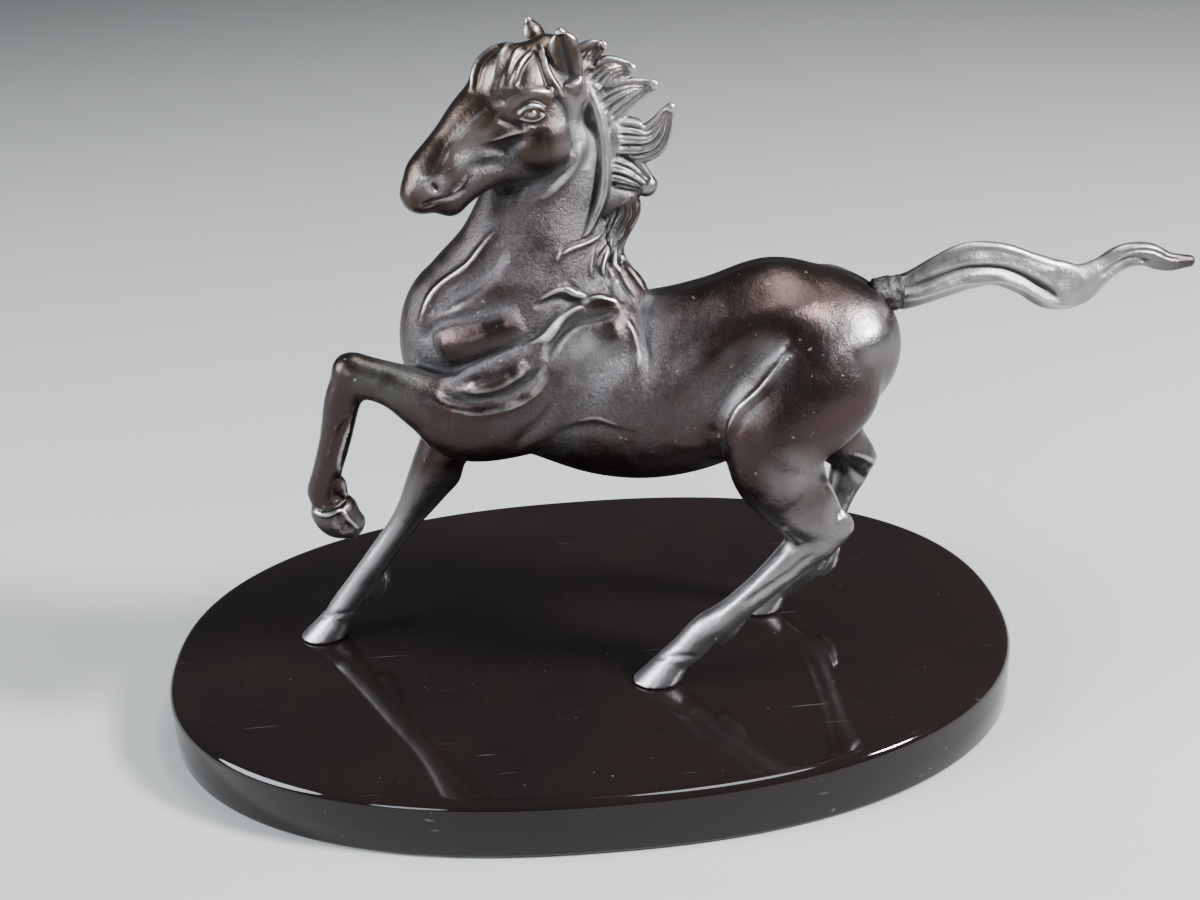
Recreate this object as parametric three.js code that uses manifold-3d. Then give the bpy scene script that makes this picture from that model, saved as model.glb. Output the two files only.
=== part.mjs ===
// Bronze horse on an oval lacquered plinth. Millimetres, +Z up, the horse faces -X and its tail runs to +X.
// The frame's origin is the middle of the face the statue rests on. Horse stations are measured
// from the middle of the plinth's top, in the same directions.
import * as THREE from "three";
import { mergeVertices } from "three/addons/utils/BufferGeometryUtils.js";
import Module from "manifold-3d";

// Overall sizes
const plinthLength = 300;
const plinthWidth = 214;
const plinthThickness = 20;
const horseScale = 1;

// Plinth
const plinthSquareness = 2.28;
const plinthEdgeRound = 3.2;
const plinthFoot = 0.4;
const feltThickness = 1.2;
const feltRecess = 1.1;
const feltInset = 8;

// Fits
const fit = 0.3;
const wall = 3;
const sleeveDepth = 7;
const sleeveBand = 4;

// Fixings under the hooves
const studDiameter = 4;
const studInHoof = 8;
const studPastNut = 1.2;
const nutAcrossFlats = 7;
const nutHeight = 3.2;
const washerDiameter = 9;
const washerThickness = 0.8;
const counterboreSide = 1.5;
const counterboreDepth = 8;

// Core plugs in the belly, and how far along the trunk each one sits
const plugDiameter = 7;
const plugThickness = 2.4;
const plugSpots = { front: 0.42, rear: 0.62 };

// Round joints in the bronze
const legSpigot = { near_fore: 3.5, far_fore: 3.5, near_hind: 4.5, far_hind: 4, tail: 3 };
const spigotLength = 6;
const collarDiameter = 12;
const collarLength = 7.5;

// Where each standing hoof meets the plinth: x, y
const nearHindHoof = [25.5, -40];
const farHindHoof = [67, 4];
const farForeHoof = [-92, 7.5];

const wasm = await Module();
wasm.setup();

// ---- solids ----

// A three.js geometry, placed, as a closed solid.
function solid(geometry, matrix = new THREE.Matrix4()) {
  const plain = geometry.clone();
  plain.deleteAttribute("normal");
  plain.deleteAttribute("uv");
  plain.applyMatrix4(matrix);
  const merged = mergeVertices(plain, 1e-4);
  const mesh = new wasm.Mesh({
    numProp: 3,
    vertProperties: new Float32Array(merged.attributes.position.array),
    triVerts: new Uint32Array(merged.index.array),
  });
  return new wasm.Manifold(mesh);
}

function joined(parts) {
  return parts.reduce((whole, part) => whole.add(part));
}

function without(whole, parts) {
  return parts.reduce((left, part) => left.subtract(part), whole);
}

function toGeometry(body) {
  const mesh = body.getMesh();
  const geometry = new THREE.BufferGeometry();
  geometry.setAttribute("position", new THREE.BufferAttribute(new Float32Array(mesh.vertProperties), 3));
  geometry.setIndex(new THREE.BufferAttribute(new Uint32Array(mesh.triVerts), 1));
  geometry.computeVertexNormals();
  return geometry;
}

function placement(position, turn = [0, 0, 0], size = [1, 1, 1]) {
  const spin = new THREE.Quaternion().setFromEuler(new THREE.Euler(...turn));
  return new THREE.Matrix4().compose(new THREE.Vector3(...position), spin, new THREE.Vector3(...size));
}

// An upright round rod or tube blank between two heights.
function rod(x, y, low, high, diameter, sides = 20) {
  const shape = new THREE.CylinderGeometry(diameter / 2, diameter / 2, high - low, sides);
  return solid(shape, placement([x, y, (low + high) / 2], [Math.PI / 2, 0, 0]));
}

// A rounded, tapering tube. Each station is [x, y, z, half depth, half width]; the width runs along Y.
function limb(stations, rings = 14, sides = 16, round = 1) {
  const spine = new THREE.CatmullRomCurve3(stations.map((s) => new THREE.Vector3(s[0], s[1], s[2])));
  const sizes = new THREE.CatmullRomCurve3(stations.map((s) => new THREE.Vector3(s[3], s[4], 0)));
  const shape = new THREE.CapsuleGeometry(1, 2, 3, sides, rings);
  const points = shape.getAttribute("position");
  const point = new THREE.Vector3();
  for (let i = 0; i < points.count; i += 1) {
    point.fromBufferAttribute(points, i);
    const along = THREE.MathUtils.clamp((1 - point.y) / 2, 0, 1);
    const cap = point.y > 1 ? point.y - 1 : Math.min(point.y + 1, 0);
    const tangent = spine.getTangent(along);
    const side = new THREE.Vector3(0, 1, 0).addScaledVector(tangent, -tangent.y).normalize();
    const front = new THREE.Vector3().crossVectors(side, tangent);
    const size = sizes.getPoint(along);
    const end = -cap * round * Math.min(size.x, size.y);
    const placed = spine.getPoint(along).addScaledVector(front, point.x * size.x);
    placed.addScaledVector(side, point.z * size.y).addScaledVector(tangent, end);
    points.setXYZ(i, placed.x * horseScale, placed.y * horseScale, placed.z * horseScale);
  }
  return solid(shape);
}

// The same tube with its wall taken off all round.
function core(stations, thickness, rings = 8, sides = 12) {
  const thinner = stations.map((s) => [s[0], s[1], s[2], s[3] - thickness, s[4] - thickness]);
  return limb(thinner, rings, sides);
}

function ball(x, y, z, rx, ry, rz, turn = 0) {
  const k = horseScale;
  const shape = new THREE.SphereGeometry(1, 14, 9);
  return solid(shape, placement([x * k, y * k, z * k], [0, turn, 0], [rx * k, ry * k, rz * k]));
}

// Everything on the side a plane faces away from, pushed back by a gap. The plane passes through
// a point of the horse, and leans only in the horse's length: direction is [x, z].
function sideOfPlane(pointXZ, direction, gap = 0) {
  const reach = 400;
  const angle = Math.atan2(direction[0], direction[1]);
  const normal = new THREE.Vector3(Math.sin(angle), 0, Math.cos(angle));
  const middle = new THREE.Vector3(pointXZ[0], 0, pointXZ[1]).multiplyScalar(horseScale);
  middle.addScaledVector(normal, reach / 2 + gap);
  return solid(new THREE.BoxGeometry(reach, reach, reach), placement(middle.toArray(), [0, angle, 0]));
}

// ---- plinth ----

function ovalOutline(length, width, squareness) {
  const outline = [];
  const steps = 64;
  for (let i = 0; i < steps; i += 1) {
    const angle = (i / steps) * Math.PI * 2;
    const c = Math.cos(angle);
    const s = Math.sin(angle);
    const x = (length / 2) * Math.sign(c) * Math.abs(c) ** (2 / squareness);
    const y = (width / 2) * Math.sign(s) * Math.abs(s) ** (2 / squareness);
    outline.push(new THREE.Vector2(x, y));
  }
  return new THREE.Shape(outline);
}

// A flat oval board between two heights, its top edge rounded over by the given radius.
function ovalBoard(length, width, low, high, edgeRound = 0) {
  const shape = ovalOutline(length, width, plinthSquareness);
  const rounding = { bevelEnabled: edgeRound > 0, bevelThickness: edgeRound, bevelSize: edgeRound };
  const depth = high - low - edgeRound;
  const board = new THREE.ExtrudeGeometry(shape, {
    depth,
    ...rounding,
    bevelOffset: -edgeRound,
    bevelSegments: 4,
    curveSegments: 1,
  });
  const below = solid(
    new THREE.BoxGeometry(2 * length, 2 * width, 2 * edgeRound + 1),
    placement([0, 0, low - edgeRound - 0.5])
  );
  return solid(board, placement([0, 0, low])).subtract(below);
}

function buildPlinth() {
  const ceiling = plinthFoot + feltRecess;
  const inside = 2 * (feltInset - fit);
  const recess = ovalBoard(plinthLength - inside, plinthWidth - inside, plinthFoot - 1, ceiling);
  const cuts = [recess];
  for (const [x, y] of standingHooves) {
    cuts.push(rod(x, y, -1, plinthThickness + 1, studDiameter + 2 * fit, 16));
    cuts.push(rod(x, y, -1, counterboreDepth, washerDiameter + 2 * counterboreSide));
  }
  return without(ovalBoard(plinthLength, plinthWidth, plinthFoot, plinthThickness, plinthEdgeRound), cuts);
}

function buildFelt() {
  return ovalBoard(plinthLength - 2 * feltInset, plinthWidth - 2 * feltInset, 0, feltThickness);
}

// ---- fixings ----

function buildStud(x, y) {
  const low = counterboreDepth - fit - washerThickness - fit - nutHeight - studPastNut;
  const high = plinthThickness + fit + studInHoof * horseScale - fit;
  const chamfer = 0.5;
  const r = studDiameter / 2;
  const length = high - low;
  const outline = [
    new THREE.Vector2(0, 0),
    new THREE.Vector2(r - chamfer, 0),
    new THREE.Vector2(r, chamfer),
    new THREE.Vector2(r, length - chamfer),
    new THREE.Vector2(r - chamfer, length),
    new THREE.Vector2(0, length),
  ];
  return solid(new THREE.LatheGeometry(outline, 16), placement([x, y, low], [Math.PI / 2, 0, 0]));
}

function buildWasher(x, y) {
  const high = counterboreDepth - fit;
  const disc = rod(x, y, high - washerThickness, high, washerDiameter);
  return disc.subtract(rod(x, y, 0, counterboreDepth, studDiameter + 2 * fit, 16));
}

function buildNut(x, y) {
  const high = counterboreDepth - fit - washerThickness - fit;
  const body = rod(x, y, high - nutHeight, high, (nutAcrossFlats * 2) / Math.sqrt(3), 6);
  return body.subtract(rod(x, y, 0, counterboreDepth, studDiameter + 2 * fit, 16));
}

// ---- stations of the horse: x, y, z, half depth, half width ----

const torso = [
  [-36, -17, 106, 21, 20],
  [-12, -18, 105, 26, 24.5],
  [12, -20, 101, 30.5, 27],
  [30, -20, 101, 31.5, 27.5],
  [50, -21, 106, 30, 27],
  [68, -21, 110.5, 29.5, 26],
  [84, -21, 112, 25.5, 22.5],
];
const neck = [
  [-17, -18, 108, 38, 24],
  [-17, -18, 123, 39, 24],
  [-13.5, -18, 137, 32.5, 20.5],
  [-10.5, -18, 149, 25.5, 17],
  [-7, -17, 165, 19, 12.8],
  [0, -17, 184, 14, 10],
];
const nearShoulder = [
  [12, -30, 122, 18, 12],
  [-8, -35, 110, 21, 12],
  [-34, -38, 101, 15.5, 11],
  [-47, -38, 107, 11, 9],
  [-58, -38, 113, 7.5, 7],
  [-67, -37, 115.5, 6.5, 6.2],
];
const nearForeCannon = [
  [-67, -37, 117, 5.5, 5.5],
  [-73, -36, 109, 6, 5.6],
  [-78.6, -35, 95, 5.3, 5],
  [-83, -34, 82.6, 5, 4.8],
  [-85, -33, 76.5, 5.4, 5.2],
];
const nearForePastern = [
  [-85, -33, 76, 4.8, 4.8],
  [-84.6, -32.5, 71, 4.6, 4.6],
  [-83, -32, 66, 5.4, 5.4],
];
const farForeArm = [
  [-30, -8, 92, 15, 10],
  [-44, -6.5, 80, 9.5, 9],
  [-52.5, -4.5, 64, 8, 7],
  [-62, -1, 48.5, 5.2, 5],
  [-74, 2, 32, 4.8, 4.6],
  [-82.5, 5, 19.5, 5.2, 5],
  [-88, 6.5, 12, 5.4, 5.4],
];
const nearThigh = [
  [85, -35, 112, 15, 9],
  [78, -40, 104, 19, 12],
  [65, -43, 93, 19, 12.5],
  [62, -44, 80, 16, 11.5],
  [67, -44.5, 68, 13, 10],
  [74, -45, 59, 9.5, 7.5],
  [79, -45, 55.5, 7, 6],
];
const nearHindCannon = [
  [83, -45, 56.5, 5, 4.5],
  [75, -45, 52, 8.2, 6],
  [69, -45, 47.5, 6.8, 5.6],
  [58, -45, 37, 5.5, 5],
  [46, -43, 25.5, 5.2, 5],
  [38, -42, 19.5, 5.8, 5.3],
  [31.5, -41, 12, 5.8, 5.6],
];
const farThigh = [
  [82, -10, 104, 16, 10],
  [82, -9, 86, 15, 10],
  [89, -7, 71, 10, 8.5],
  [96, -5.5, 63, 7, 6.5],
];
const farHindCannon = [
  [99, -5, 62, 5, 4.5],
  [94, -4.5, 57, 7.2, 5.5],
  [90.5, -3, 46.5, 5.4, 5],
  [86, -1, 31, 5, 4.8],
  [82, 1, 19.5, 5.4, 5.2],
  [73.5, 3, 11, 5.6, 5.4],
];
const tailRibbon = [
  [98, -20, 126, 5.5, 5],
  [108, -20, 126.8, 6, 5],
  [119, -20, 131, 7.4, 5],
  [128, -20, 134, 8, 4.6],
  [138, -20, 134, 7.2, 4.4],
  [148, -20, 130, 7.2, 4.2],
  [157, -20, 125.6, 8.4, 4.2],
  [165, -20, 125.2, 7.2, 4],
  [172, -20, 129, 4.6, 3.4],
  [179, -20, 133.6, 3.9, 3],
  [187, -20, 134, 3.6, 2.8],
  [194, -20, 130.8, 3.2, 2.5],
  [201.5, -20, 130.4, 2, 1.8],
];

// Head stations run from the poll to the muzzle along its own length, before the head is turned.
const headTurn = 20;
const poll = [2, -17];
const tailY = -20;
const skull = [
  [-3, 0, 198.5, 14.5, 10.5],
  [-14.5, 0, 196, 16.5, 12.5],
  [-27, 0, 193, 11.2, 9.5],
  [-37, 0, 185.2, 8.8, 7.6],
  [-45.5, 0, 177, 8.8, 8.2],
  [-49, 0, 173.2, 6.8, 7],
];
const jowl = { x: -10.5, z: 186, across: 7.5, radius: 10.5, bulge: 6 };
const lowerLip = [
  [-31, 0, 176, 5, 4.5],
  [-40, 0, 168.5, 4.4, 4.8],
];

// Raised folds of skin and flowing locks of the mane.
const folds = [
  [[-46, -27, 136, 3, 5], [-34, -31, 146, 4.5, 4], [-21, -29, 157, 2.5, 3]],
  [[-49, -30, 121, 4, 4], [-38, -37, 126, 6, 4], [-22, -39, 131, 4.5, 3]],
  [[-44, -36, 109, 3, 4], [-32, -42, 112, 5, 4], [-12, -42, 117, 4, 3]],
  [[-6, -37, 138, 3, 3], [8, -36, 141, 3.4, 3], [20, -31, 141, 3, 3]],
  [[2, -42, 116, 8, 4], [12, -40, 124, 9, 4], [16, -36, 132, 6, 4]],
];
const locks = [
  [[5, -17, 201, 6, 4], [9, -17, 209, 3.5, 3], [13, -18, 211, 1.2, 1.2]],
  [[5, -17, 193, 7, 4.5], [14, -18, 204, 4.2, 3], [22, -18, 203.5, 1.3, 1.3]],
  [[6, -17, 187, 7, 4.5], [18, -18, 196, 5, 3.4], [28.5, -18, 198, 1.5, 1.4]],
  [[8, -17, 182, 7, 5], [18, -18, 183, 6.5, 4], [27, -18, 181, 5, 3.4], [33.5, -18, 190, 1.3, 1.3]],
  [[9, -17, 175, 7, 5], [18, -18, 172, 5, 4], [26.5, -18, 165, 3, 2.6]],
  [[9, -17, 168, 5, 4], [18, -18, 161, 5, 3], [13.5, -18, 150, 5, 3.5], [13, -18, 140, 6, 4.5], [20, -19, 134, 4.5, 5]],
];

// ---- bronze castings ----

const standingHooves = [nearHindHoof, farHindHoof, farForeHoof].map(([x, y]) => [x * horseScale, y * horseScale]);

// A hoof standing on the plinth: a cone leaning back from its toe, which points to -X.
function hoof([x, y], height = 11, lean = 5, topRadius = 5.6, soleRadius = 7.8) {
  const shape = new THREE.CylinderGeometry(topRadius, soleRadius, height, 18);
  const stand = placement([x, y, height / 2 + fit / horseScale], [Math.PI / 2, 0, 0]);
  const leanBack = new THREE.Matrix4().set(1, 0, lean / height, 0, 0, 1, 0, 0, 0, 0, 1, 0, 0, 0, 0, 1);
  const toScale = new THREE.Matrix4().makeScale(horseScale, horseScale, horseScale);
  return solid(shape, toScale.multiply(leanBack).multiply(stand));
}

// A threaded hole up into a hoof.
function studHole([x, y]) {
  return rod(x * horseScale, y * horseScale, -2, (studInHoof + fit) * horseScale, studDiameter + 2 * fit, 16);
}

// Cut planes between castings: a point [x, z] and the direction [x, z] the cut-off part lies in.
const neckCut = { at: [-16, 128], towards: [-0.17, 1] };
const nearForeCut = { at: [-55, 112], towards: [-1, 0.35] };
const farForeCut = { at: [-42, 82], towards: [-0.5, -1] };
const nearHindCut = { at: [65, 75], towards: [0, -1] };
const farHindCut = { at: [83, 84], towards: [0.4, -1] };
const collarSeat = { at: [98.5, 126], towards: [1, 0.1] };
const tailCut = { at: [98.5 + collarLength + fit, 126.7], towards: [1, 0.1] };

function beyond(cut, gap = 0) {
  return sideOfPlane(cut.at, cut.towards, gap);
}

function trimmed(part, cut) {
  return part.subtract(beyond(cut));
}

// A round spigot that carries a limb on into the casting it is brazed to.
function spigot(cut, y, radius, length, extra = 0) {
  const angle = Math.atan2(cut.towards[0], cut.towards[1]);
  const k = horseScale;
  const shape = new THREE.CylinderGeometry(radius + extra, radius + extra, (length + extra) * 2, 16);
  const stand = new THREE.Matrix4().makeRotationX(Math.PI / 2);
  const centre = placement([cut.at[0] * k, y * k, cut.at[1] * k], [0, angle, 0]);
  return solid(shape, centre.multiply(stand));
}

// Two halves of a joint in one limb: the upper keeps a socket, the lower carries the spigot.
function lowerLimb(part, cut, y, radius) {
  const own = part.intersect(beyond(cut, fit));
  return own.add(spigot(cut, y, radius, spigotLength));
}

// The ring inside the neck that drops into the body, and the thicker band that joins it to the neck's wall.
function neckSleeve() {
  const ring = core(neck, wall + fit).intersect(between(neckCut, -sleeveDepth, sleeveBand));
  const band = core(neck, wall / 2).intersect(between(neckCut, fit, sleeveBand));
  return ring.add(band).subtract(core(neck, 2 * wall));
}

function between(cut, from, to) {
  return beyond(cut, from).subtract(beyond(cut, to));
}

function buildBody() {
  const trunk = limb(torso, 14, 22).add(trimmed(limb(neck, 10, 20), neckCut));
  const upper = [
    trimmed(limb(nearShoulder, 12, 12), nearForeCut),
    trimmed(limb(farForeArm, 12, 12), farForeCut),
    trimmed(limb(nearThigh, 12, 14), nearHindCut),
    trimmed(limb(farThigh, 10, 14), farHindCut),
    ball(2, -5, 112, 26, 10, 20),
    ball(84, -6, 112, 17, 12, 22),
  ];
  const ridges = folds.slice(1).map((stations) => limb(stations, 6, 8));
  const shell = joined([trunk, ...upper, ...ridges]).subtract(beyond(neckCut));
  const hollow = core(torso, wall, 9, 14).add(core(neck, wall).subtract(beyond(neckCut, 2)));
  const sockets = [
    spigot(nearForeCut, -38, legSpigot.near_fore, spigotLength, fit),
    spigot(farForeCut, -6.5, legSpigot.far_fore, spigotLength, fit),
    spigot(nearHindCut, -44, legSpigot.near_hind, spigotLength, fit),
    spigot(farHindCut, -9, legSpigot.far_hind, spigotLength, fit),
    spigot(tailCut, tailY, legSpigot.tail, spigotLength + collarLength, fit),
    spigot(collarSeat, tailY, collarDiameter / 2, collarLength * 2, fit).intersect(beyond(collarSeat)),
  ];
  const plugHoles = Object.values(plugSpots).map((spot) => plug(spot, plugDiameter + 2 * fit, 4 * wall));
  return without(shell, [hollow, ...sockets, ...plugHoles]);
}

// A round plug through the belly wall, square to it and flush with the outside.
function plug(along, diameter, thickness) {
  const spine = new THREE.CatmullRomCurve3(torso.map((s) => new THREE.Vector3(s[0], s[1], s[2])));
  const depths = new THREE.CatmullRomCurve3(torso.map((s) => new THREE.Vector3(s[3], 0, 0)));
  const tangent = spine.getTangent(along);
  const down = new THREE.Vector3(0, 1, 0).cross(tangent).normalize();
  const reach = depths.getPoint(along).x - (thickness < wall ? thickness / 2 + fit : 0);
  const centre = spine.getPoint(along).addScaledVector(down, reach).multiplyScalar(horseScale);
  const turn = new THREE.Quaternion().setFromUnitVectors(new THREE.Vector3(0, 1, 0), down);
  const place = new THREE.Matrix4().compose(centre, turn, new THREE.Vector3(1, 1, 1));
  return solid(new THREE.CylinderGeometry(diameter / 2, diameter / 2, thickness, 20), place);
}

function buildNeckAndHead() {
  const outside = joined([
    limb(neck, 10, 20).intersect(beyond(neckCut, fit)),
    buildHead(),
    ...locks.map((stations) => limb(stations, 6, 8)),
    limb(folds[0], 6, 8),
  ]);
  return outside.intersect(beyond(neckCut, fit)).subtract(core(neck, wall)).add(neckSleeve());
}

function buildHead() {
  const near = ball(jowl.x, -jowl.across, jowl.z, jowl.radius, jowl.bulge, jowl.radius);
  const far = ball(jowl.x, jowl.across, jowl.z, jowl.radius, jowl.bulge, jowl.radius);
  const ears = [buildEar(-4, -9.5, 217.5), buildEar(-6, 9.5, 219)];
  const straight = joined([limb(skull, 9, 14), limb(lowerLip, 4, 10), near, far, ...ears]);
  return turnedAtPoll(straight);
}

function turnedAtPoll(part) {
  const k = horseScale;
  const turn = new THREE.Matrix4().makeTranslation(poll[0] * k, poll[1] * k, 0);
  turn.multiply(new THREE.Matrix4().makeRotationZ(THREE.MathUtils.degToRad(headTurn)));
  return part.transform(turn.toArray());
}

// A pointed, cupped ear standing on the head.
function buildEar(x, y, tip) {
  const outer = limb([[x + 1, y * 0.8, 203, 5, 4], [x, y, 210, 5, 3.6], [x - 1, y * 1.1, tip, 1.4, 1.2]], 7, 10);
  const open = ball(x, y + Math.sign(y) * 3.4, 210.5, 3, 2.8, 6);
  return outer.subtract(open);
}

function buildNearFore() {
  const arm = limb(nearShoulder, 12, 12);
  const k = horseScale;
  const shape = new THREE.CylinderGeometry(5, 7, 11, 18);
  const foot = solid(shape, placement([-81.4 * k, -31.5 * k, 65 * k], [Math.PI / 2, -0.32, 0], [k, k, k]));
  const leg = joined([arm, limb(nearForeCannon, 8, 12), limb(nearForePastern, 4, 10), foot]);
  return lowerLimb(leg, nearForeCut, -38, legSpigot.near_fore);
}

function buildFarFore() {
  const leg = joined([limb(farForeArm, 12, 12), hoof(farForeHoof)]);
  return lowerLimb(leg, farForeCut, -6.5, legSpigot.far_fore).subtract(studHole(farForeHoof));
}

function buildNearHind() {
  const leg = joined([limb(nearThigh, 12, 14), limb(nearHindCannon, 12, 12), hoof(nearHindHoof)]);
  return lowerLimb(leg, nearHindCut, -44, legSpigot.near_hind).subtract(studHole(nearHindHoof));
}

function buildFarHind() {
  const leg = joined([limb(farThigh, 10, 14), limb(farHindCannon, 12, 12), hoof(farHindHoof)]);
  return lowerLimb(leg, farHindCut, -9, legSpigot.far_hind).subtract(studHole(farHindHoof));
}

function buildTail() {
  const ribbon = limb(tailRibbon, 24, 10).intersect(beyond(tailCut, fit));
  return ribbon.add(spigot(tailCut, tailY, legSpigot.tail, spigotLength + collarLength));
}

// The rough collar round the root of the tail, let into a shallow seat in the rump.
function buildTailCollar() {
  const ring = spigot(tailCut, tailY, collarDiameter / 2, collarLength * 2).intersect(beyond(collarSeat, fit));
  return without(ring, [beyond(tailCut), spigot(tailCut, tailY, legSpigot.tail, collarLength * 3, fit)]);
}

// ---- materials and assembly ----

const bronze = new THREE.MeshStandardMaterial({ color: 0x4a352c, roughness: 0.4, metalness: 0.85 });
const lacquer = new THREE.MeshStandardMaterial({ color: 0x0e0b0a, roughness: 0.12, metalness: 0 });
const felt = new THREE.MeshStandardMaterial({ color: 0x1f3d2b, roughness: 0.95, metalness: 0 });
const steel = new THREE.MeshStandardMaterial({ color: 0x9a9a98, roughness: 0.35, metalness: 0.95 });

function piece(name, body, material) {
  const mesh = new THREE.Mesh(toGeometry(body), material);
  mesh.name = name;
  return mesh;
}

const statue = new THREE.Group();
const horse = new THREE.Group();
horse.position.z = plinthThickness;
horse.add(
  piece("body", buildBody(), bronze.clone()),
  piece("neck_and_head", buildNeckAndHead(), bronze.clone()),
  piece("near_foreleg", buildNearFore(), bronze.clone()),
  piece("far_foreleg", buildFarFore(), bronze.clone()),
  piece("near_hind_leg", buildNearHind(), bronze.clone()),
  piece("far_hind_leg", buildFarHind(), bronze.clone()),
  piece("tail", buildTail(), bronze.clone()),
  piece("tail_collar", buildTailCollar(), bronze.clone()),
  piece("front_core_plug", plug(plugSpots.front, plugDiameter, plugThickness), bronze.clone()),
  piece("rear_core_plug", plug(plugSpots.rear, plugDiameter, plugThickness), bronze.clone())
);
statue.add(horse);
statue.add(piece("plinth", buildPlinth(), lacquer), piece("base_felt", buildFelt(), felt));
["near_hind", "far_hind", "far_fore"].forEach((leg, i) => {
  const [x, y] = standingHooves[i];
  statue.add(piece(leg + "_stud", buildStud(x, y), steel.clone()));
  statue.add(piece(leg + "_washer", buildWasher(x, y), steel.clone()));
  statue.add(piece(leg + "_nut", buildNut(x, y), steel.clone()));
});

export default statue;
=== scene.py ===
import math
import bpy
import bmesh
import numpy as np
from mathutils import Matrix, Vector, noise


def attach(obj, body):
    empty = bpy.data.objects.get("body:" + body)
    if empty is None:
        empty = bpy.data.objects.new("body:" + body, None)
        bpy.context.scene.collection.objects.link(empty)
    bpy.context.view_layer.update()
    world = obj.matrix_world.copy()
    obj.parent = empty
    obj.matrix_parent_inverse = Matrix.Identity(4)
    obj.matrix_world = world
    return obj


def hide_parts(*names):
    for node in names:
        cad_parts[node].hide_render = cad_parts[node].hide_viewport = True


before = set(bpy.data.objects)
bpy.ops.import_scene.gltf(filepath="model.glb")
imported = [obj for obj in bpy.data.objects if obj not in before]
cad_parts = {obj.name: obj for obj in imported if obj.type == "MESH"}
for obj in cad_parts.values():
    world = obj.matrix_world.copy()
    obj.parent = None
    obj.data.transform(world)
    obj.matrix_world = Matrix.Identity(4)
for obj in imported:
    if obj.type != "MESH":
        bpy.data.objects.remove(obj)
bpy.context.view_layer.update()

MM = 0.001
PLINTH_TOP = 20.0
# spacing of the skin's points in mm, finer on the head and mane
GRAIN, HEAD_GRAIN = ((0.7, 0.45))
# lines along the horse that its two sides, its mane and its tail mirror about
MIDLINE_Y, MANE_Y, TAIL_Y = -19, -18, -20
STANDING_HOOVES = ((25.5, -40), (67, 4), (-92, 7.5))


# ---- shapes ----

def flow(rows, t):
    """A smooth curve through rows of numbers, read at places t from 0 to 1."""
    rows = np.array(rows, float)
    last = len(rows) - 1
    place = np.clip(t, 0, 1) * last
    i = np.minimum(place.astype(int), last - 1)
    u = (place - i)[:, None]
    a, b = rows[i], rows[i + 1]
    before = np.where((i > 0)[:, None], rows[np.maximum(i - 1, 0)], 2 * a - b)
    after = np.where((i < last - 1)[:, None], rows[np.minimum(i + 2, last)], 2 * b - a)
    bend = 2 * before - 5 * a + 4 * b - after
    twist = 3 * a - before - 3 * b + after
    return 0.5 * (2 * a + (b - before) * u + bend * u ** 2 + twist * u ** 3)


def facing_out(clay):
    """Turns every face of a closed skin outwards."""
    bmesh.ops.recalc_face_normals(clay, faces=clay.faces)
    if clay.calc_volume(signed=True) < 0:
        bmesh.ops.reverse_faces(clay, faces=clay.faces)


def unit(v):
    return v / np.maximum(np.linalg.norm(v, axis=-1, keepdims=True), 1e-9)


def positions(verts):
    return np.array([v.co for v in verts], float).reshape(-1, 3)


def limb(clay, stations, rings=64, sides=40, end=1.0, cup=None):
    """A rounded tapering tube. Each station is x, y, z, half depth and half width; the width
    runs along Y. cup hollows one side like a spoon: the way it faces, in radians from the
    front, and how deep."""
    made = bmesh.ops.create_uvsphere(clay, u_segments=sides, v_segments=rings, radius=1)["verts"]
    ball = positions(made)
    lat = np.arccos(np.clip(ball[:, 2], -1, 1)) / math.pi
    around = np.arctan2(ball[:, 1], ball[:, 0])
    tip = 0.12
    along = np.clip((lat - tip) / (1 - 2 * tip), 0, 1)
    near_end = np.clip(np.minimum(lat, 1 - lat) / tip, 0, 1) * math.pi / 2
    cap = np.where(lat < 0.5, 1, -1) * np.cos(near_end) * end
    girth = np.sin(near_end)
    if cup:
        facing = np.abs((around - cup[0] + math.pi) % (2 * math.pi) - math.pi)
        lengthwise = np.sin(np.clip((along - 0.28) / 0.72, 0, 1) ** 0.75 * math.pi) ** 0.35
        girth = girth * (1 - cup[1] * np.exp(-(facing / 1.12) ** 3.2) * lengthwise)
    here = flow(stations, along)
    tangent = unit(flow(stations, along + 0.004)[:, :3] - flow(stations, along - 0.004)[:, :3])
    side = unit(np.array([0, 1, 0]) - tangent * tangent[:, 1:2])
    front = np.cross(side, tangent)
    reach = np.minimum(here[:, 3], here[:, 4])
    placed = here[:, :3] + front * (np.cos(around) * girth * here[:, 3])[:, None]
    placed += side * (np.sin(around) * girth * here[:, 4])[:, None]
    placed -= tangent * (cap * reach)[:, None]
    for v, p in zip(made, placed):
        v.co = p
    return made


def blob(clay, centre, radii, turn=0.0):
    """An egg of clay, turned about Y by some degrees."""
    made = bmesh.ops.create_uvsphere(clay, u_segments=40, v_segments=28, radius=1)["verts"]
    spin = Matrix.Rotation(math.radians(turn), 4, "Y")
    place = Matrix.Translation(centre) @ spin @ Matrix.Diagonal((*radii, 1))
    bmesh.ops.transform(clay, matrix=place, verts=made)
    return made


def turned(clay, verts, angle, about):
    """Turns part of the clay about an upright line."""
    spin = Matrix.Rotation(math.radians(angle), 4, "Z")
    bmesh.ops.transform(clay, matrix=Matrix.Translation((*about, 0)) @ spin, verts=verts)


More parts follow.
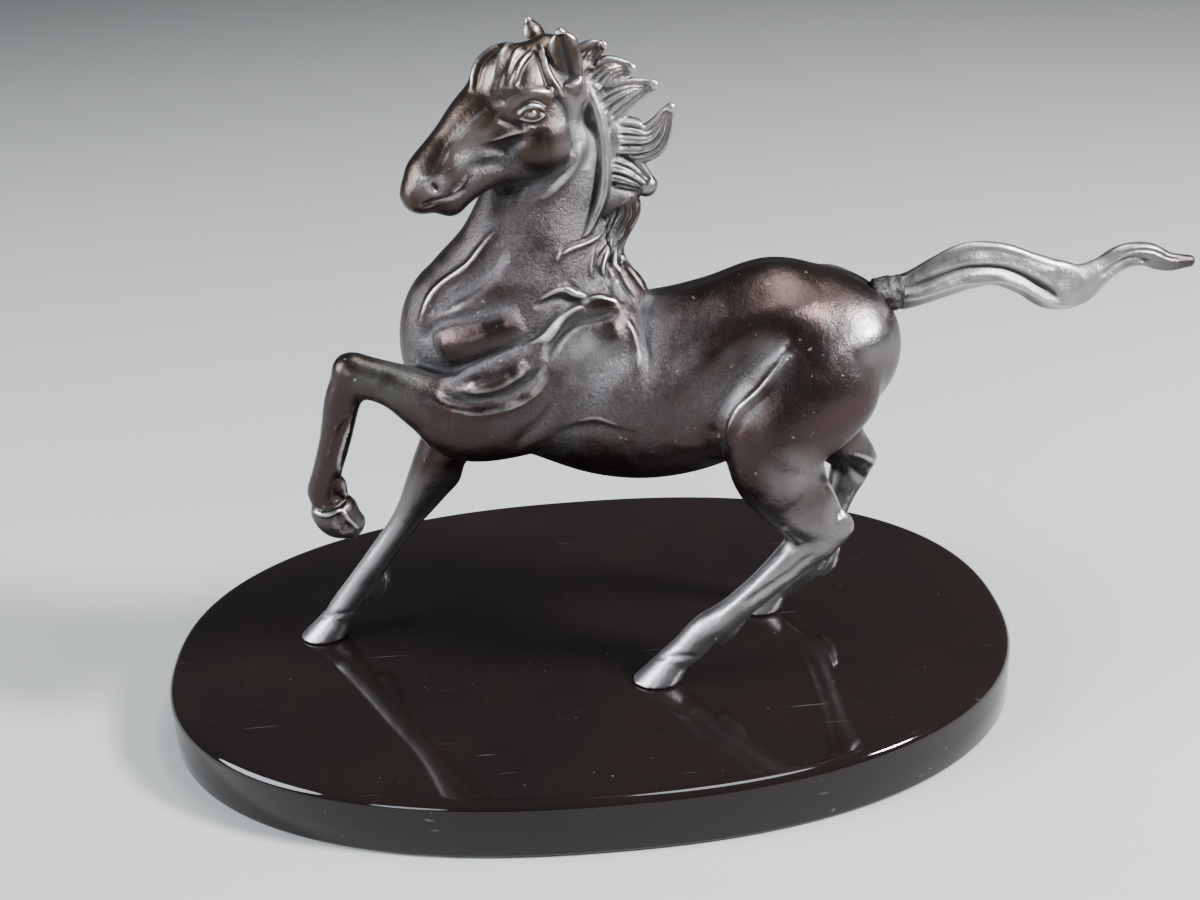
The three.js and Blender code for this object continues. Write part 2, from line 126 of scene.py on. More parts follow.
def fused(clay, grain):
    """Presses overlapping lumps into one skin and returns it as a mesh."""
    bmesh.ops.recalc_face_normals(clay, faces=clay.faces)
    mesh = bpy.data.meshes.new("clay")
    clay.to_mesh(mesh)
    clay.free()
    lump = bpy.data.objects.new("clay", mesh)
    bpy.context.scene.collection.objects.link(lump)
    press = lump.modifiers.new("press", "REMESH")
    press.mode = "VOXEL"
    press.voxel_size = grain
    shown = lump.evaluated_get(bpy.context.evaluated_depsgraph_get())
    skin = bpy.data.meshes.new_from_object(shown)
    bpy.data.objects.remove(lump)
    return skin


class Skin:
    """A mesh held as arrays, so that it can be smoothed and worked with strokes."""

    def __init__(self, mesh):
        self.mesh = mesh
        count = len(mesh.vertices)
        self.at = np.zeros(count * 3)
        mesh.vertices.foreach_get("co", self.at)
        self.at = self.at.reshape(-1, 3)
        edges = np.zeros(len(mesh.edges) * 2, int)
        mesh.edges.foreach_get("vertices", edges)
        self.edges = edges.reshape(-1, 2)
        self.degree = np.maximum(np.bincount(edges, minlength=count), 1)
        self.refresh()

    def refresh(self):
        self.mesh.vertices.foreach_set("co", self.at.ravel())
        self.mesh.update()
        normals = np.zeros(self.at.size)
        self.mesh.vertices.foreach_get("normal", normals)
        self.out = normals.reshape(-1, 3)

    def average(self, values):
        a, b = self.edges.T
        total = [
            np.bincount(a, values[b, k], len(values)) + np.bincount(b, values[a, k], len(values))
            for k in range(values.shape[1])
        ]
        return np.stack(total, 1) / self.degree[:, None]

    def smooth(self, rounds, weight=1.0, hold=0.53):
        weight = np.broadcast_to(weight, len(self.at))[:, None]
        for _ in range(rounds):
            self.at = self.at + 0.5 * weight * (self.average(self.at) - self.at)
            if hold:
                self.at = self.at - hold * weight * (self.average(self.at) - self.at)
        self.refresh()


# ---- the horse's form: stations in mm above the plinth ----

TORSO = [
    [-36, -17, 106, 21, 20], [-12, -18, 105, 26, 24.5],
    [12, -20, 101, 30.5, 27], [30, -20, 101, 31.5, 27.5],
    [50, -21, 106, 30, 27], [68, -21, 110.5, 29.5, 26], [84, -21, 112, 25.5, 22.5],
]
NECK = [
    [-17, -18, 108, 38, 24], [-17, -18, 123, 39, 24], [-13.5, -18, 137, 32.5, 20.5],
    [-10.5, -18, 149, 25.5, 17], [-7, -17, 165, 19, 12.8], [0, -17, 184, 14, 10],
]
NEAR_SHOULDER = [
    [12, -30, 122, 18, 12], [-8, -35, 110, 21, 12], [-34, -38, 101, 15.5, 11], [-47, -38, 107, 11, 9],
    [-58, -38, 113.5, 7.5, 7], [-68.5, -37, 117.3, 6.9, 6.4],
]
NEAR_FORE_CANNON = [
    [-70.5, -37, 118.6, 5.7, 5.6], [-74.6, -36, 109, 6, 5.6], [-78.6, -35, 95, 5.3, 5],
    [-83, -34, 82.6, 5, 4.8], [-85, -33, 76.5, 5.4, 5.2],
]
NEAR_FORE_PASTERN = [[-85, -33, 76, 4.8, 4.8], [-84.6, -32.5, 71, 4.6, 4.6], [-83, -32, 66, 5.4, 5.4]]
FAR_FORE = [
    [-30, -8, 92, 15, 10], [-44, -6.5, 80, 9.5, 9], [-52.5, -4.5, 64, 8, 7], [-62, -1, 48.5, 5.2, 5],
    [-74, 2, 32, 4.8, 4.6], [-82.5, 5, 19.5, 5.2, 5], [-88, 6.5, 12, 5.3, 5.4], [-91.2, 7.2, 7.5, 5, 5.5],
]
NEAR_THIGH = [
    [85, -35, 112, 15, 9], [78, -40, 104, 19, 12], [65, -43, 93, 19, 12.5], [62, -44, 80, 16, 11.5],
    [67, -44.5, 68, 13, 10], [74, -45, 59, 9.5, 7.5], [79, -45, 55.5, 7, 6],
]
NEAR_HIND_CANNON = [
    [83, -45, 56.5, 5, 4.5], [75, -45, 52, 8.2, 6], [69, -45, 47.5, 6.8, 5.6], [58, -45, 37, 5.5, 5],
    [46, -43, 25.5, 5.2, 5], [38, -42, 19.5, 5.8, 5.3], [31.5, -41, 12, 5.6, 5.5],
    [26.5, -40.4, 7.5, 5.2, 5.6],
]
FAR_THIGH = [[82, -10, 104, 16, 10], [82, -9, 86, 15, 10], [89, -7, 71, 10, 8.5], [96, -5.5, 63, 7, 6.5]]
FAR_HIND_CANNON = [
    [99, -5, 62, 5, 4.5], [94, -4.5, 57, 7.2, 5.5], [90.5, -3, 46.5, 5.4, 5], [86, -1, 31, 5, 4.8],
    [82, 1, 19.5, 5.4, 5.2], [73.5, 3, 11, 5.4, 5.4], [69, 3.8, 7, 5, 5.4],
]
TAIL = [
    [98, -20, 126, 5.5, 5], [108, -20, 126.8, 6, 5], [119, -20, 131, 7.4, 5], [128, -20, 134, 8, 4.6],
    [138, -20, 134, 7.2, 4.4], [148, -20, 130, 7.2, 4.2], [157, -20, 125.6, 8.4, 4.2],
    [165, -20, 125.2, 7.2, 4], [172, -20, 129, 4.6, 3.4], [179, -20, 133.6, 3.9, 3],
    [187, -20, 134, 3.6, 2.8], [194, -20, 130.8, 3.2, 2.5], [201.5, -20, 130.4, 2, 1.8],
]
SKULL = [
    [-3, 0, 198.5, 14.5, 10.5], [-14.5, 0, 196, 16.5, 12.5], [-27, 0, 193, 11.2, 9.5],
    [-37, 0, 185.2, 8.8, 7.6], [-45.5, 0, 177, 8.8, 8.2], [-49, 0, 173.2, 6.8, 7],
]
LOWER_LIP = [[-31, 0, 176, 5, 4.5], [-40, 0, 168.5, 4.4, 4.8]]
JAW = [
    [-4, 0, 184, 9, 8], [-15, 0, 180.5, 8, 7.5], [-25.5, 0, 178, 6, 6.5],
    [-34, 0, 174, 5.5, 5.5], [-42, 0, 170, 5, 5],
]
CREST = [
    [8, -18, 200, 3, 4.5], [11.5, -18.5, 190, 2.6, 5.2],
    [12.5, -18.5, 178, 2.6, 5.8], [11.5, -19, 167, 2.6, 7],
    [7, -21, 158, 2.4, 7.5], [1.5, -24, 151.5, 2, 7],
]
LOCKS = [
    [[5, -17, 201, 6.5, 4.5], [9.5, -17, 208.5, 4.2, 3.4], [14, -18, 211, 1.6, 1.5]],
    [[5, -17, 193, 8, 5], [14, -18, 203, 5, 3.6], [22.5, -18, 203.6, 1.6, 1.5]],
    [[6, -17, 187, 8, 5], [17.5, -18, 195, 6, 4], [29, -18, 198.2, 1.7, 1.6]],
    [
        [8, -17, 181, 8.5, 5.5], [18, -18, 181.5, 8, 4.6],
        [27.5, -18, 181.5, 6, 3.8], [34, -18, 191, 1.5, 1.5],
    ],
    [[9, -17, 174, 8, 5.5], [18, -18, 172, 7.2, 4.6], [25.8, -18, 166.6, 3.6, 3.2]],
    [
        [9, -17, 168, 6, 5], [18, -18, 161.5, 5.6, 3.6], [14.2, -18, 152, 5.4, 4.2],
        [11, -19, 144, 5, 5.4], [9, -20, 136, 4, 6],
    ],
]
WITHERS_FAN = [[3, -19, 153, 8, 7.5], [8, -19, 142, 10, 10], [12, -20, 131, 13, 13]]
RAISED_HOOF = [
    [-84, -32.2, 73, 5.2, 5.4], [-82.9, -32, 69.8, 7.2, 6.6],
    [-80, -31.6, 65.6, 7.4, 6.2], [-76.2, -31.2, 62.2, 4.8, 4.6],
]
FETLOCK_TUFTS = [
    [[-73, 4, 30, 3, 2.6], [-75, 4.6, 23, 5, 3], [-77.5, 5, 17, 4, 2.4]],
    [[50, -43, 24, 2, 2], [45.5, -42.5, 19, 3.2, 2.2], [42, -42, 14.5, 2.2, 1.6]],
    [[90, 1, 24, 2, 2], [88, 1.5, 18, 3, 2.2], [84.5, 2, 13.5, 2, 1.6]],
    [[-80, -35, 83, 1.6, 2], [-79.2, -34.5, 79, 2.6, 2.2], [-77.6, -34, 75, 1.0, 1.4]],
]
HEAD_TURN = 20
POLL = (2, -17)


def hoof(clay, x, y, height=11.4, lean=8.8, top=4.9, sole=7.7):
    """A standing hoof, its toe to -X, drawn out a little along the leg's line."""
    cone = bmesh.ops.create_cone(
        clay, cap_ends=True, segments=48, radius1=sole, radius2=top, depth=height
    )
    shear = Matrix((
        (1.1, 0, lean / height, x - 0.4),
        (0, 0.96, 0, y),
        (0, 0, 1, height / 2 + 0.3),
        (0, 0, 0, 1),
    ))
    bmesh.ops.transform(clay, matrix=shear, verts=cone["verts"])


def soft_masses():
    """The trunk, neck, legs and skull, before the crisp parts go on."""
    clay = bmesh.new()
    for stations in (
        TORSO, NECK, NEAR_SHOULDER, FAR_FORE, NEAR_THIGH, NEAR_HIND_CANNON,
        FAR_THIGH, FAR_HIND_CANNON, NEAR_FORE_CANNON, NEAR_FORE_PASTERN,
    ):
        limb(clay, stations)
    blob(clay, (2, -5, 112), (26, 10, 20))
    blob(clay, (84, -6, 112), (17, 12, 22))
    blob(clay, (-70.2, -37, 118.6), (7.2, 6.2, 6.6), 30)
    head = limb(clay, SKULL) + limb(clay, LOWER_LIP) + limb(clay, JAW)
    for y in (-7.5, 7.5):
        head += blob(clay, (-10.5, y, 186), (10.5, 6, 10.5))
    head += blob(clay, (-17.5, 0, 202.5), (13.5, 9.5, 12)) + blob(clay, (-6, 0, 208), (9, 7, 8))
    turned(clay, head, HEAD_TURN, POLL)
    return clay


def crisp_masses(clay):
    """Hooves, ears and the locks of the mane."""
    blob(clay, (12, -18, 165), (6, 5, 8))
    for lock in [*LOCKS, CREST, WITHERS_FAN]:
        limb(clay, lock, 40, 28)
    for x, y in STANDING_HOOVES:
        hoof(clay, x, y)
    for raised in (RAISED_HOOF, *FETLOCK_TUFTS):
        limb(clay, raised, 40, 32, 0.6)
    ears = []
    for side, x, y, tip, point in ((-1, -4, -9.5, 217.2, 1), (1, -6, 9.5, 218.4, 0.82)):
        ear = [
            [x + 3, y * 0.75, 197, 2.4, 2.6],
            [x + 2.4, y * 0.88, 201.5, 3.7, 3.4],
            [x + 1.4, y, 206.5, 4.8, 4],
            [x + 0.3, y * 1.05, tip - 5.6, 5.0 * point, 4.2 * point],
            [x - 0.4, y * 1.08, tip - 2.2, 4.3 * point ** 1.5, 3.6 * point],
            [x - 0.8, y * 1.1, tip, 1.9 * point ** 2, 1.7 * point ** 2],
        ]
        ears += limb(clay, ear, 60, 56, cup=(side * 2.0, 1.66))
    turned(clay, ears, HEAD_TURN, POLL)


def only_edges(geom):
    return [e for e in geom if isinstance(e, bmesh.types.BMEdge)]


def sawn(clay, point, direction):
    """Saws the clay along a plane, throws away what lies beyond it and closes the cut."""
    geom = clay.verts[:] + clay.edges[:] + clay.faces[:]
    cut = bmesh.ops.bisect_plane(
        clay, geom=geom, plane_co=point, plane_no=direction, clear_outer=True
    )["geom_cut"]
    bmesh.ops.holes_fill(clay, edges=only_edges(cut), sides=0)


NECK_CUT = (Vector((-16, 0, 128)), Vector((-0.17, 0, 1)).normalized())
BODY_OVERLAP, HEAD_OVERLAP = 11, 7


def rough_out():
    """The horse in two lumps that overlap at the root of the neck: the head gets the finer grain."""
    base = Skin(fused(soft_masses(), 1.1))
    base.smooth(12, hold=0)
    lumps = []
    at, away = NECK_CUT
    for grain, side, overlap in ((HEAD_GRAIN, -1, HEAD_OVERLAP), (GRAIN, 1, BODY_OVERLAP)):
        clay = bmesh.new()
        clay.from_mesh(base.mesh)
        crisp_masses(clay)
        sawn(clay, at + away * side * overlap, away * side)
        lump = Skin(fused(clay, grain))
        lump.grain = grain
        lump.smooth(3)
        lumps.append(lump)
    return lumps


# ---- strokes of the modelling tool ----

def opposite(point):
    """The matching spot on the other flank."""
    return (point[0], 2 * MIDLINE_Y - point[1], point[2])


def opposite_cheek(point):
    """The matching spot on the other side of the turned head."""
    turn = math.radians(HEAD_TURN)
    away = Vector((math.sin(turn), -math.cos(turn), 0))
    spot = Vector(point)
    return tuple(spot - away * 2 * (spot - Vector((*POLL, 0))).dot(away))


def stroke(skins, points, width, height, ends=0.2, mirror=None):
    """Raises a ridge (height above 0) or presses a groove along a line on the skin. It fades
    out over ends, a share of its length, and mirror repeats it on the other side."""
    lines = [points]
    if mirror:
        lines.append([mirror(p) for p in points][::-1])
    for line in lines:
        length = np.linalg.norm(np.diff(line, axis=0), axis=1).sum()
        t = np.linspace(0, 1, max(4, int(length / max(width * 0.8, 0.9))))
        path = flow(line, t)
        fade = np.sin(np.clip(np.minimum(t, 1 - t) / ends, 0, 1) * math.pi / 2)
        for skin in skins:
            press(skin, path, fade, width, height)


def press(skin, path, fade, width, height):
    """Moves the skin in or out along a path, most in its middle and none far from it."""
    reach = width * 3 + 6
    low, high = path.min(0) - reach, path.max(0) + reach
    near = np.flatnonzero(((skin.at > low) & (skin.at < high)).all(1))
    if len(near) < 9:
        return
    at = skin.at[near]
    spots = np.array([at[np.argmin(((at - p) ** 2).sum(1))] for p in path])
    missed = np.linalg.norm(spots - path, axis=1) > 6
    for _ in range(3):
        spots[1:-1] = (spots[:-2] + spots[1:-1] * 2 + spots[2:]) / 4
    best, strength = np.full(len(at), 1e9), np.zeros(len(at))
    for k in range(len(spots) - 1):
        if missed[k] or missed[k + 1]:
            continue
        run = spots[k + 1] - spots[k]
        along = np.clip((at - spots[k]) @ run / max(run @ run, 1e-6), 0, 1)
        off = at - spots[k] - along[:, None] * run
        gap = (off ** 2).sum(1)
        closer = gap < best
        best[closer] = gap[closer]
        strength[closer] = (fade[k] + (fade[k + 1] - fade[k]) * along)[closer]
    shape = np.exp(-(np.sqrt(best) / width) ** 2)
    skin.at[near] += skin.out[near] * (height * shape * strength)[:, None]


def swell(skins, centre, radius, height, mirror=None):
    """Swells or hollows the skin round a spot; radius is one number or one per axis."""
    for spot in [centre] + ([mirror(centre)] if mirror else []):
        for skin in skins:
            gap = np.linalg.norm((skin.at - np.array(spot)) / np.array(radius), axis=1)
            skin.at += skin.out * (height * np.exp(-gap ** 2) * (gap < 3))[:, None]


def soften(skins, centre, radii, passes):
    """Smooths the clay round a spot with the flat of the hand."""
    for skin in skins:
        gap = np.linalg.norm((skin.at - np.array(centre)) / np.array(radii), axis=1)
        if gap.min() < 1.2:
            skin.smooth(round(passes / skin.grain ** 2), weight=np.clip(1.7 - gap * 1.4, 0, 1), hold=0)


def settle_all(skins):
    """Works out the skin's directions again, so that the next strokes follow the new shape."""
    for skin in skins:
        skin.refresh()


def on_both_sides(skins, mirror):
    """The stroke tool, set to work on both sides at once."""
    def stroke_both(points, width, height, ends=0.2):
        stroke(skins, points, width, height, ends, mirror)
    return stroke_both


def shifted(points, x=0.0, z=0.0):
    return [(p[0] + x, p[1], p[2] + z) for p in points]


def strands(skins, stations, places, width, depth, start=0.0, stop=1.0):
    """Combs grooves along a lock, on both of its faces."""
    t = np.linspace(start, stop, 9)
    here = flow(stations, t)
    tangent = unit(flow(stations, t + 0.01)[:, :3] - flow(stations, t - 0.01)[:, :3])
    front = np.cross(np.array([0, 1, 0]) * np.ones((len(t), 1)), tangent)
    for place in places:
        for face in (-1, 1):
            line = here[:, :3] + front * (here[:, 3] * place)[:, None]
            line[:, 1] += face * here[:, 4] * math.sqrt(max(0.05, 1 - place * place))
            stroke(skins, line.tolist(), width, depth, ends=0.12)


def model_trunk(skins):
    """Flank, thigh, rump and ribs."""
    fold = on_both_sides(skins, opposite)
    fold([
        (33, -46, 88), (35, -47, 97), (38, -47, 105), (44, -47, 111.5), (51, -46, 117),
        (59, -45, 121), (68, -43, 125)
    ], 5.5, -2.4, ends=0.35)
    fold([
        (41, -48, 92), (42.5, -48, 100), (47, -48, 107), (53, -47, 112.5), (60, -46, 118),
        (65, -45, 123)
    ], 2.6, -2.2, ends=0.4)
    settle_all(skins)
    fold([
        (68, -44, 123), (65, -46, 117), (60, -48, 111), (56, -49, 107), (52, -49, 104),
        (49, -48, 100), (47, -47, 95), (46, -47, 88)
    ], 1.7, 1.9, ends=0.3)
    fold([(42, -46, 96), (42, -44, 87), (45, -38, 79)], 2.5, 0.8)
    fold([
        (38, -42, 121), (48, -41, 125), (58, -40, 128), (70, -40, 129), (82, -39, 127)
    ], 5.5, 1.3, ends=0.45)
    swell(skins, (62, -20, 141), (17, 13, 12), 1.5)
    swell(skins, (93, -20, 137), (15, 22, 12), -1.6)
    soften(skins[1:], (88, -20, 122), (26, 34, 26), 60)
    soften(skins, (14, -20, 140), (15, 15, 15), 22)
    swell(skins, (91, -40, 119), (17, 17, 19), 1.6, opposite)
    settle_all(skins)
    fold([(72, -44, 115), (82, -44, 117), (92, -41, 118), (100, -34, 117)], 5.5, 1.7, ends=0.4)
    settle_all(skins)
    soften(skins[1:], (90, -20, 122), (22, 30, 18), 26)
    stroke(skins, [(93, -21, 141), (104, -21, 128), (106, -21, 112), (102, -21, 96)], 3.5, -1.4)
    stroke(skins, [(30, -20, 133), (55, -20, 138), (75, -20, 141)], 3, -0.4)
    settle_all(skins)


def model_shoulder(skins):
    """The folds that run up and back across the neck and shoulder."""
    fold = on_both_sides(skins, opposite)
    # the long bulge above the point of the shoulder and the bands beside it
    fold([(-45, -36, 124), (-36, -38, 126), (-28, -40, 128.5), (-16, -40, 133)], 5.4, 3.0, ends=0.3)
    fold([(-40, -44, 112.5), (-27, -45, 115), (-15, -45, 120)], 3.8, 2.1, ends=0.3)
    fold([(-42, -34, 134), (-32, -36, 138), (-22, -37, 141), (-8, -37, 144)], 3.5, 0.9, ends=0.35)
    settle_all(skins)
    fold([
        (-50, -31, 122), (-49, -33, 118), (-43, -37, 117), (-36, -39, 118.5),
        (-27, -41, 121.5), (-17, -42, 125.5), (-9, -40, 130), (-3, -37, 136)
    ], 1.8, -1.8, ends=0.3)
    fold([(-44, -33, 136), (-38, -34, 139), (-31, -34, 143), (-25, -34, 148), (-20, -32, 154)], 2.2, -1.6)
    fold([(-48, -33, 125), (-45, -34, 130), (-38, -36, 133), (-28, -38, 135), (-18, -38, 138)], 1.8, -1.1)
    fold([
        (-44, -45, 113), (-39, -45, 111), (-31, -47, 110), (-23, -47, 111.5),
        (-16, -46, 115.5), (-10, -45, 120)
    ], 1.6, -1.7)
    fold([
        (-10, -45, 120), (-7, -43, 126), (-3, -40, 129.5), (2, -39, 131.5), (8, -39, 132),
        (14, -37, 133)
    ], 1.6, -2.0)
    settle_all(skins)
    fold([
        (-20, -32, 162), (-24, -30, 157), (-29, -31, 151.5), (-34, -31, 147),
        (-40, -30, 143), (-44, -30, 139), (-47, -31, 134), (-49, -31, 128)
    ], 1.7, 1.5, ends=0.3)
    fold([
        (-46, -43, 114.5), (-40, -41, 115.5), (-33, -40, 118), (-24, -42, 122.5),
        (-16, -42, 126), (-8, -41, 130), (-4, -39, 133)
    ], 1.5, 1.1, ends=0.35)
    fold([
        (-47, -45, 112), (-41, -47, 108), (-33, -48, 106), (-24, -48, 107), (-16, -48, 110),
        (-10, -47, 115), (-7, -45, 120)
    ], 1.9, 1.1, ends=0.35)
    fold([(-9, -43, 126), (-5, -39, 131.5), (1, -37, 134.5), (8, -36, 136), (15, -35, 135)], 1.3, 1.2)
    fold([(-11, -38, 138), (-5, -36, 140.5), (0, -35, 139), (5, -36, 136.5), (11, -35, 136.5)], 1.2, 1.1)
    fold([(-13, -38, 136), (-6, -37, 138), (0, -36, 136.5), (5, -37, 134)], 1.0, -0.8)
    settle_all(skins)
    # the shoulder blade
    fold([(-1, -45, 115), (4, -43, 122), (9, -42, 126), (16, -40, 127)], 4.0, 1.0)
    fold([(15, -37, 131), (18, -40, 125), (19, -42, 120), (18, -44, 113)], 1.5, 0.9, ends=0.35)
    fold([
        (24, -24, 133), (22, -31, 129.5), (21.5, -37, 125), (22.5, -41, 120),
        (22.5, -44, 115), (20, -46, 106)
    ], 1.8, -1.1, ends=0.4)
    fold([
        (-5, -46, 110), (-10, -47, 104), (-13, -47, 100), (-17, -47, 97), (-23, -45, 92)
    ], 2.6, -1.5, ends=0.4)
    fold([(-8, -45, 97), (-2, -45, 100), (5, -46, 101), (10, -47, 99), (20, -47, 96)], 1.5, 0.7, ends=0.4)
    fold([(-10, -45, 95), (-3, -45, 97), (5, -46, 98), (14, -47, 95)], 2.2, -0.6, ends=0.4)
    settle_all(skins)


def model_legs(skins):
    """Sinews, joints and the tops of the hooves."""
    stroke(skins, [
        (58, -55, 83), (65, -55, 81), (72, -53, 77), (77, -50, 71), (82, -47, 63),
        (85, -48, 58)
    ], 2.8, 0.8, ends=0.45)
    stroke(skins, [(75, -51, 74), (79, -48, 67), (82, -48, 60)], 1.3, -1.0)
    stroke(skins, [(60, -55, 77), (67, -54, 70)], 6, 0.7, ends=0.5)
    stroke(skins, [(62, -51, 61), (65, -50, 56), (69, -50, 53)], 1.4, 0.7)
    stroke(skins, [(66, -49, 51), (58, -49, 43), (50, -48, 34), (41, -46, 25)], 1.4, 0.5)
    stroke(skins, [(73, -51, 50), (65, -50, 43), (57, -49, 37), (49, -48, 31)], 1.2, -0.7)
    stroke(skins, [(20, -40, 9), (26, -45, 11.5), (31, -47, 12), (35, -45, 11)], 0.8, -0.5)
    stroke(skins, [(91, -12, 63), (95, -10, 59), (99, -7, 54)], 1.4, -0.9)
    stroke(skins, [(92, -14, 68), (98, -11, 64.5), (102, -8, 60)], 1.4, 0.8)
    stroke(skins, [(-72, -40, 104), (-76, -39, 95), (-78, -38, 88), (-79, -35, 81)], 1.2, 0.6)
    stroke(skins, [(-74, -40, 104), (-78, -40, 95), (-81, -39, 86)], 1.1, -0.6)
    stroke(skins, [(-90, -33, 72.5), (-86, -37, 71.5), (-82, -38.5, 72), (-77, -34, 73.5)], 0.8, -0.7)
    stroke(skins, [(-90, -34, 72), (-86, -38, 71), (-82, -39, 71.5), (-79, -38, 72)], 0.9, 1.1)
    stroke(skins, [(-81, -39, 71), (-80, -38.5, 67), (-79.5, -37, 62)], 0.8, -1.1, ends=0.2)
    stroke(skins, [(-79, -38.5, 71.5), (-76.8, -37, 67), (-74.6, -35, 62.5)], 0.8, 1.0, ends=0.2)
    stroke(skins, [(-80, -38.5, 71), (-78, -37.5, 67), (-76.6, -36, 62.5)], 0.8, -0.9, ends=0.2)
    stroke(skins, [(-97, 6, 9), (-91, 2, 11), (-85, 2, 12.5), (-82, 4, 12)], 0.8, -0.5)
    swell(skins, (-43.5, -7, 66), (6, 6, 5), 1.3)
    swell(skins, (62, -55, 80), (8, 6, 6), 1.0)
    swell(skins, (69, -52, 66), (6, 5, 5), -1.3)
    stroke(skins, [(74, -50, 78), (79, -49, 71), (83, -48, 64), (86, -46, 58)], 2.2, 1.1, ends=0.35)
    settle_all(skins)
    for skin in skins:
        skin.smooth(8, weight=np.clip((34 - skin.at[:, 2]) / 8, 0, 1) * (skin.at[:, 2] > 2.5))


def narrowed(lid):
    """An eyelid's line, drawn in towards the middle of the eye."""
    return [(-9.2 + (x + 9.2) * 0.8, y, 195.3 + (z - 195.3) * 0.9) for x, y, z in lid]


def model_head(skins):
    """Brow, eye, cheek and muzzle."""
    fold = on_both_sides(skins, opposite_cheek)
    fold([(-39, -40, 179), (-34, -37, 187), (-30, -36, 191), (-26, -35, 195), (-22, -35, 198)], 1.6, 0.8)
    swell(skins, (-28, -36, 186), (6, 4, 4), -1.3, opposite_cheek)
    swell(skins, (-6, -34, 184.5), 8, 1.0, opposite_cheek)
    fold([
        (-3, -31, 199), (0, -29, 197), (2, -28, 193), (3, -28, 189), (3, -28, 184),
        (2, -28, 180)
    ], 1.3, -1.6)
    fold([
        (2, -28, 180), (-1, -28, 177), (-5, -28, 174), (-11, -28, 172.5), (-17, -26, 172),
        (-22, -21, 172)
    ], 1.8, -1.6)
    settle_all(skins)
    fold([
        (-19, -35, 197), (-16, -35, 199.5), (-12, -33.5, 201.5), (-6, -32, 201),
        (-1, -30, 198)
    ], 1.9, 1.0)
    fold([(-19.5, -35.5, 195), (-17, -35, 193.5), (-14, -34.5, 192.3), (-11, -34, 191.5)], 1.3, -1.1)
    swell(skins, (-9, -34, 196), 2.6, 0.9, opposite_cheek)
    fold([
        (-25, -35, 187), (-21, -34, 188.5), (-16, -34, 190), (-12, -34, 190.5),
        (-8, -33, 191)
    ], 1.5, 1.2, ends=0.45)
    fold([(-24, -33, 185), (-18, -31, 185.5), (-14, -32, 187), (-10, -34, 188)], 1.5, -0.9, ends=0.45)
    fold([(-27, -34, 183.5), (-21, -32, 183), (-13, -31, 182)], 1.6, 1.0, ends=0.45)
    fold([(-31, -36, 180.5), (-27, -33, 180.5), (-21, -31, 180), (-14, -30, 179)], 1.6, -0.6, ends=0.45)
    settle_all(skins)
    front, back = (-14.5, -34.5, 194.8), (-4.5, -32, 195)
    upper = narrowed([front, (-12, -34, 196.9), (-9.5, -34, 197.6), (-6.5, -33, 197), back])
    lower = narrowed([front, (-11.5, -34, 193.5), (-8.5, -33.5, 193), (-6, -33, 193.6), back])
    swell(skins, (-9.5, -34, 195.3), (2.8, 4, 1.8), 0.6, opposite_cheek)
    settle_all(skins)
    fold(upper, 0.55, 0.75, ends=0.1)
    fold(lower, 0.55, 0.55, ends=0.1)
    fold(shifted(upper, 0.4, 1.8), 0.5, -0.55)
    fold(shifted(lower, 0.4, -1.7), 0.5, -0.5)
    settle_all(skins)
    fold(shifted(upper, z=-0.9), 0.4, -0.5, ends=0.1)
    swell(skins, (-10, -34.2, 195.5), 0.9, -0.7, opposite_cheek)
    # muzzle
    swell(skins, (-41, -41, 177), 3.8, 0.5, opposite_cheek)
    fold([(-43.5, -40, 179), (-40.5, -40.5, 180), (-37.5, -40, 179), (-36.5, -39, 176.5)], 0.9, 0.35)
    fold([
        (-40.8, -40.8, 178), (-39, -40.5, 177), (-38.3, -40.3, 175.5),
        (-39.3, -40.5, 174.6)
    ], 0.9, -1.5, ends=0.3)
    fold([
        (-44, -40, 171), (-40.5, -40, 171.5), (-36, -38, 171.5), (-33, -35, 173),
        (-30.5, -33.5, 174.5)
    ], 0.8, -1.1)
    fold([(-35, -37, 173.5), (-32, -35, 175.5), (-30, -34, 178)], 0.9, 0.6)
    settle_all(skins)


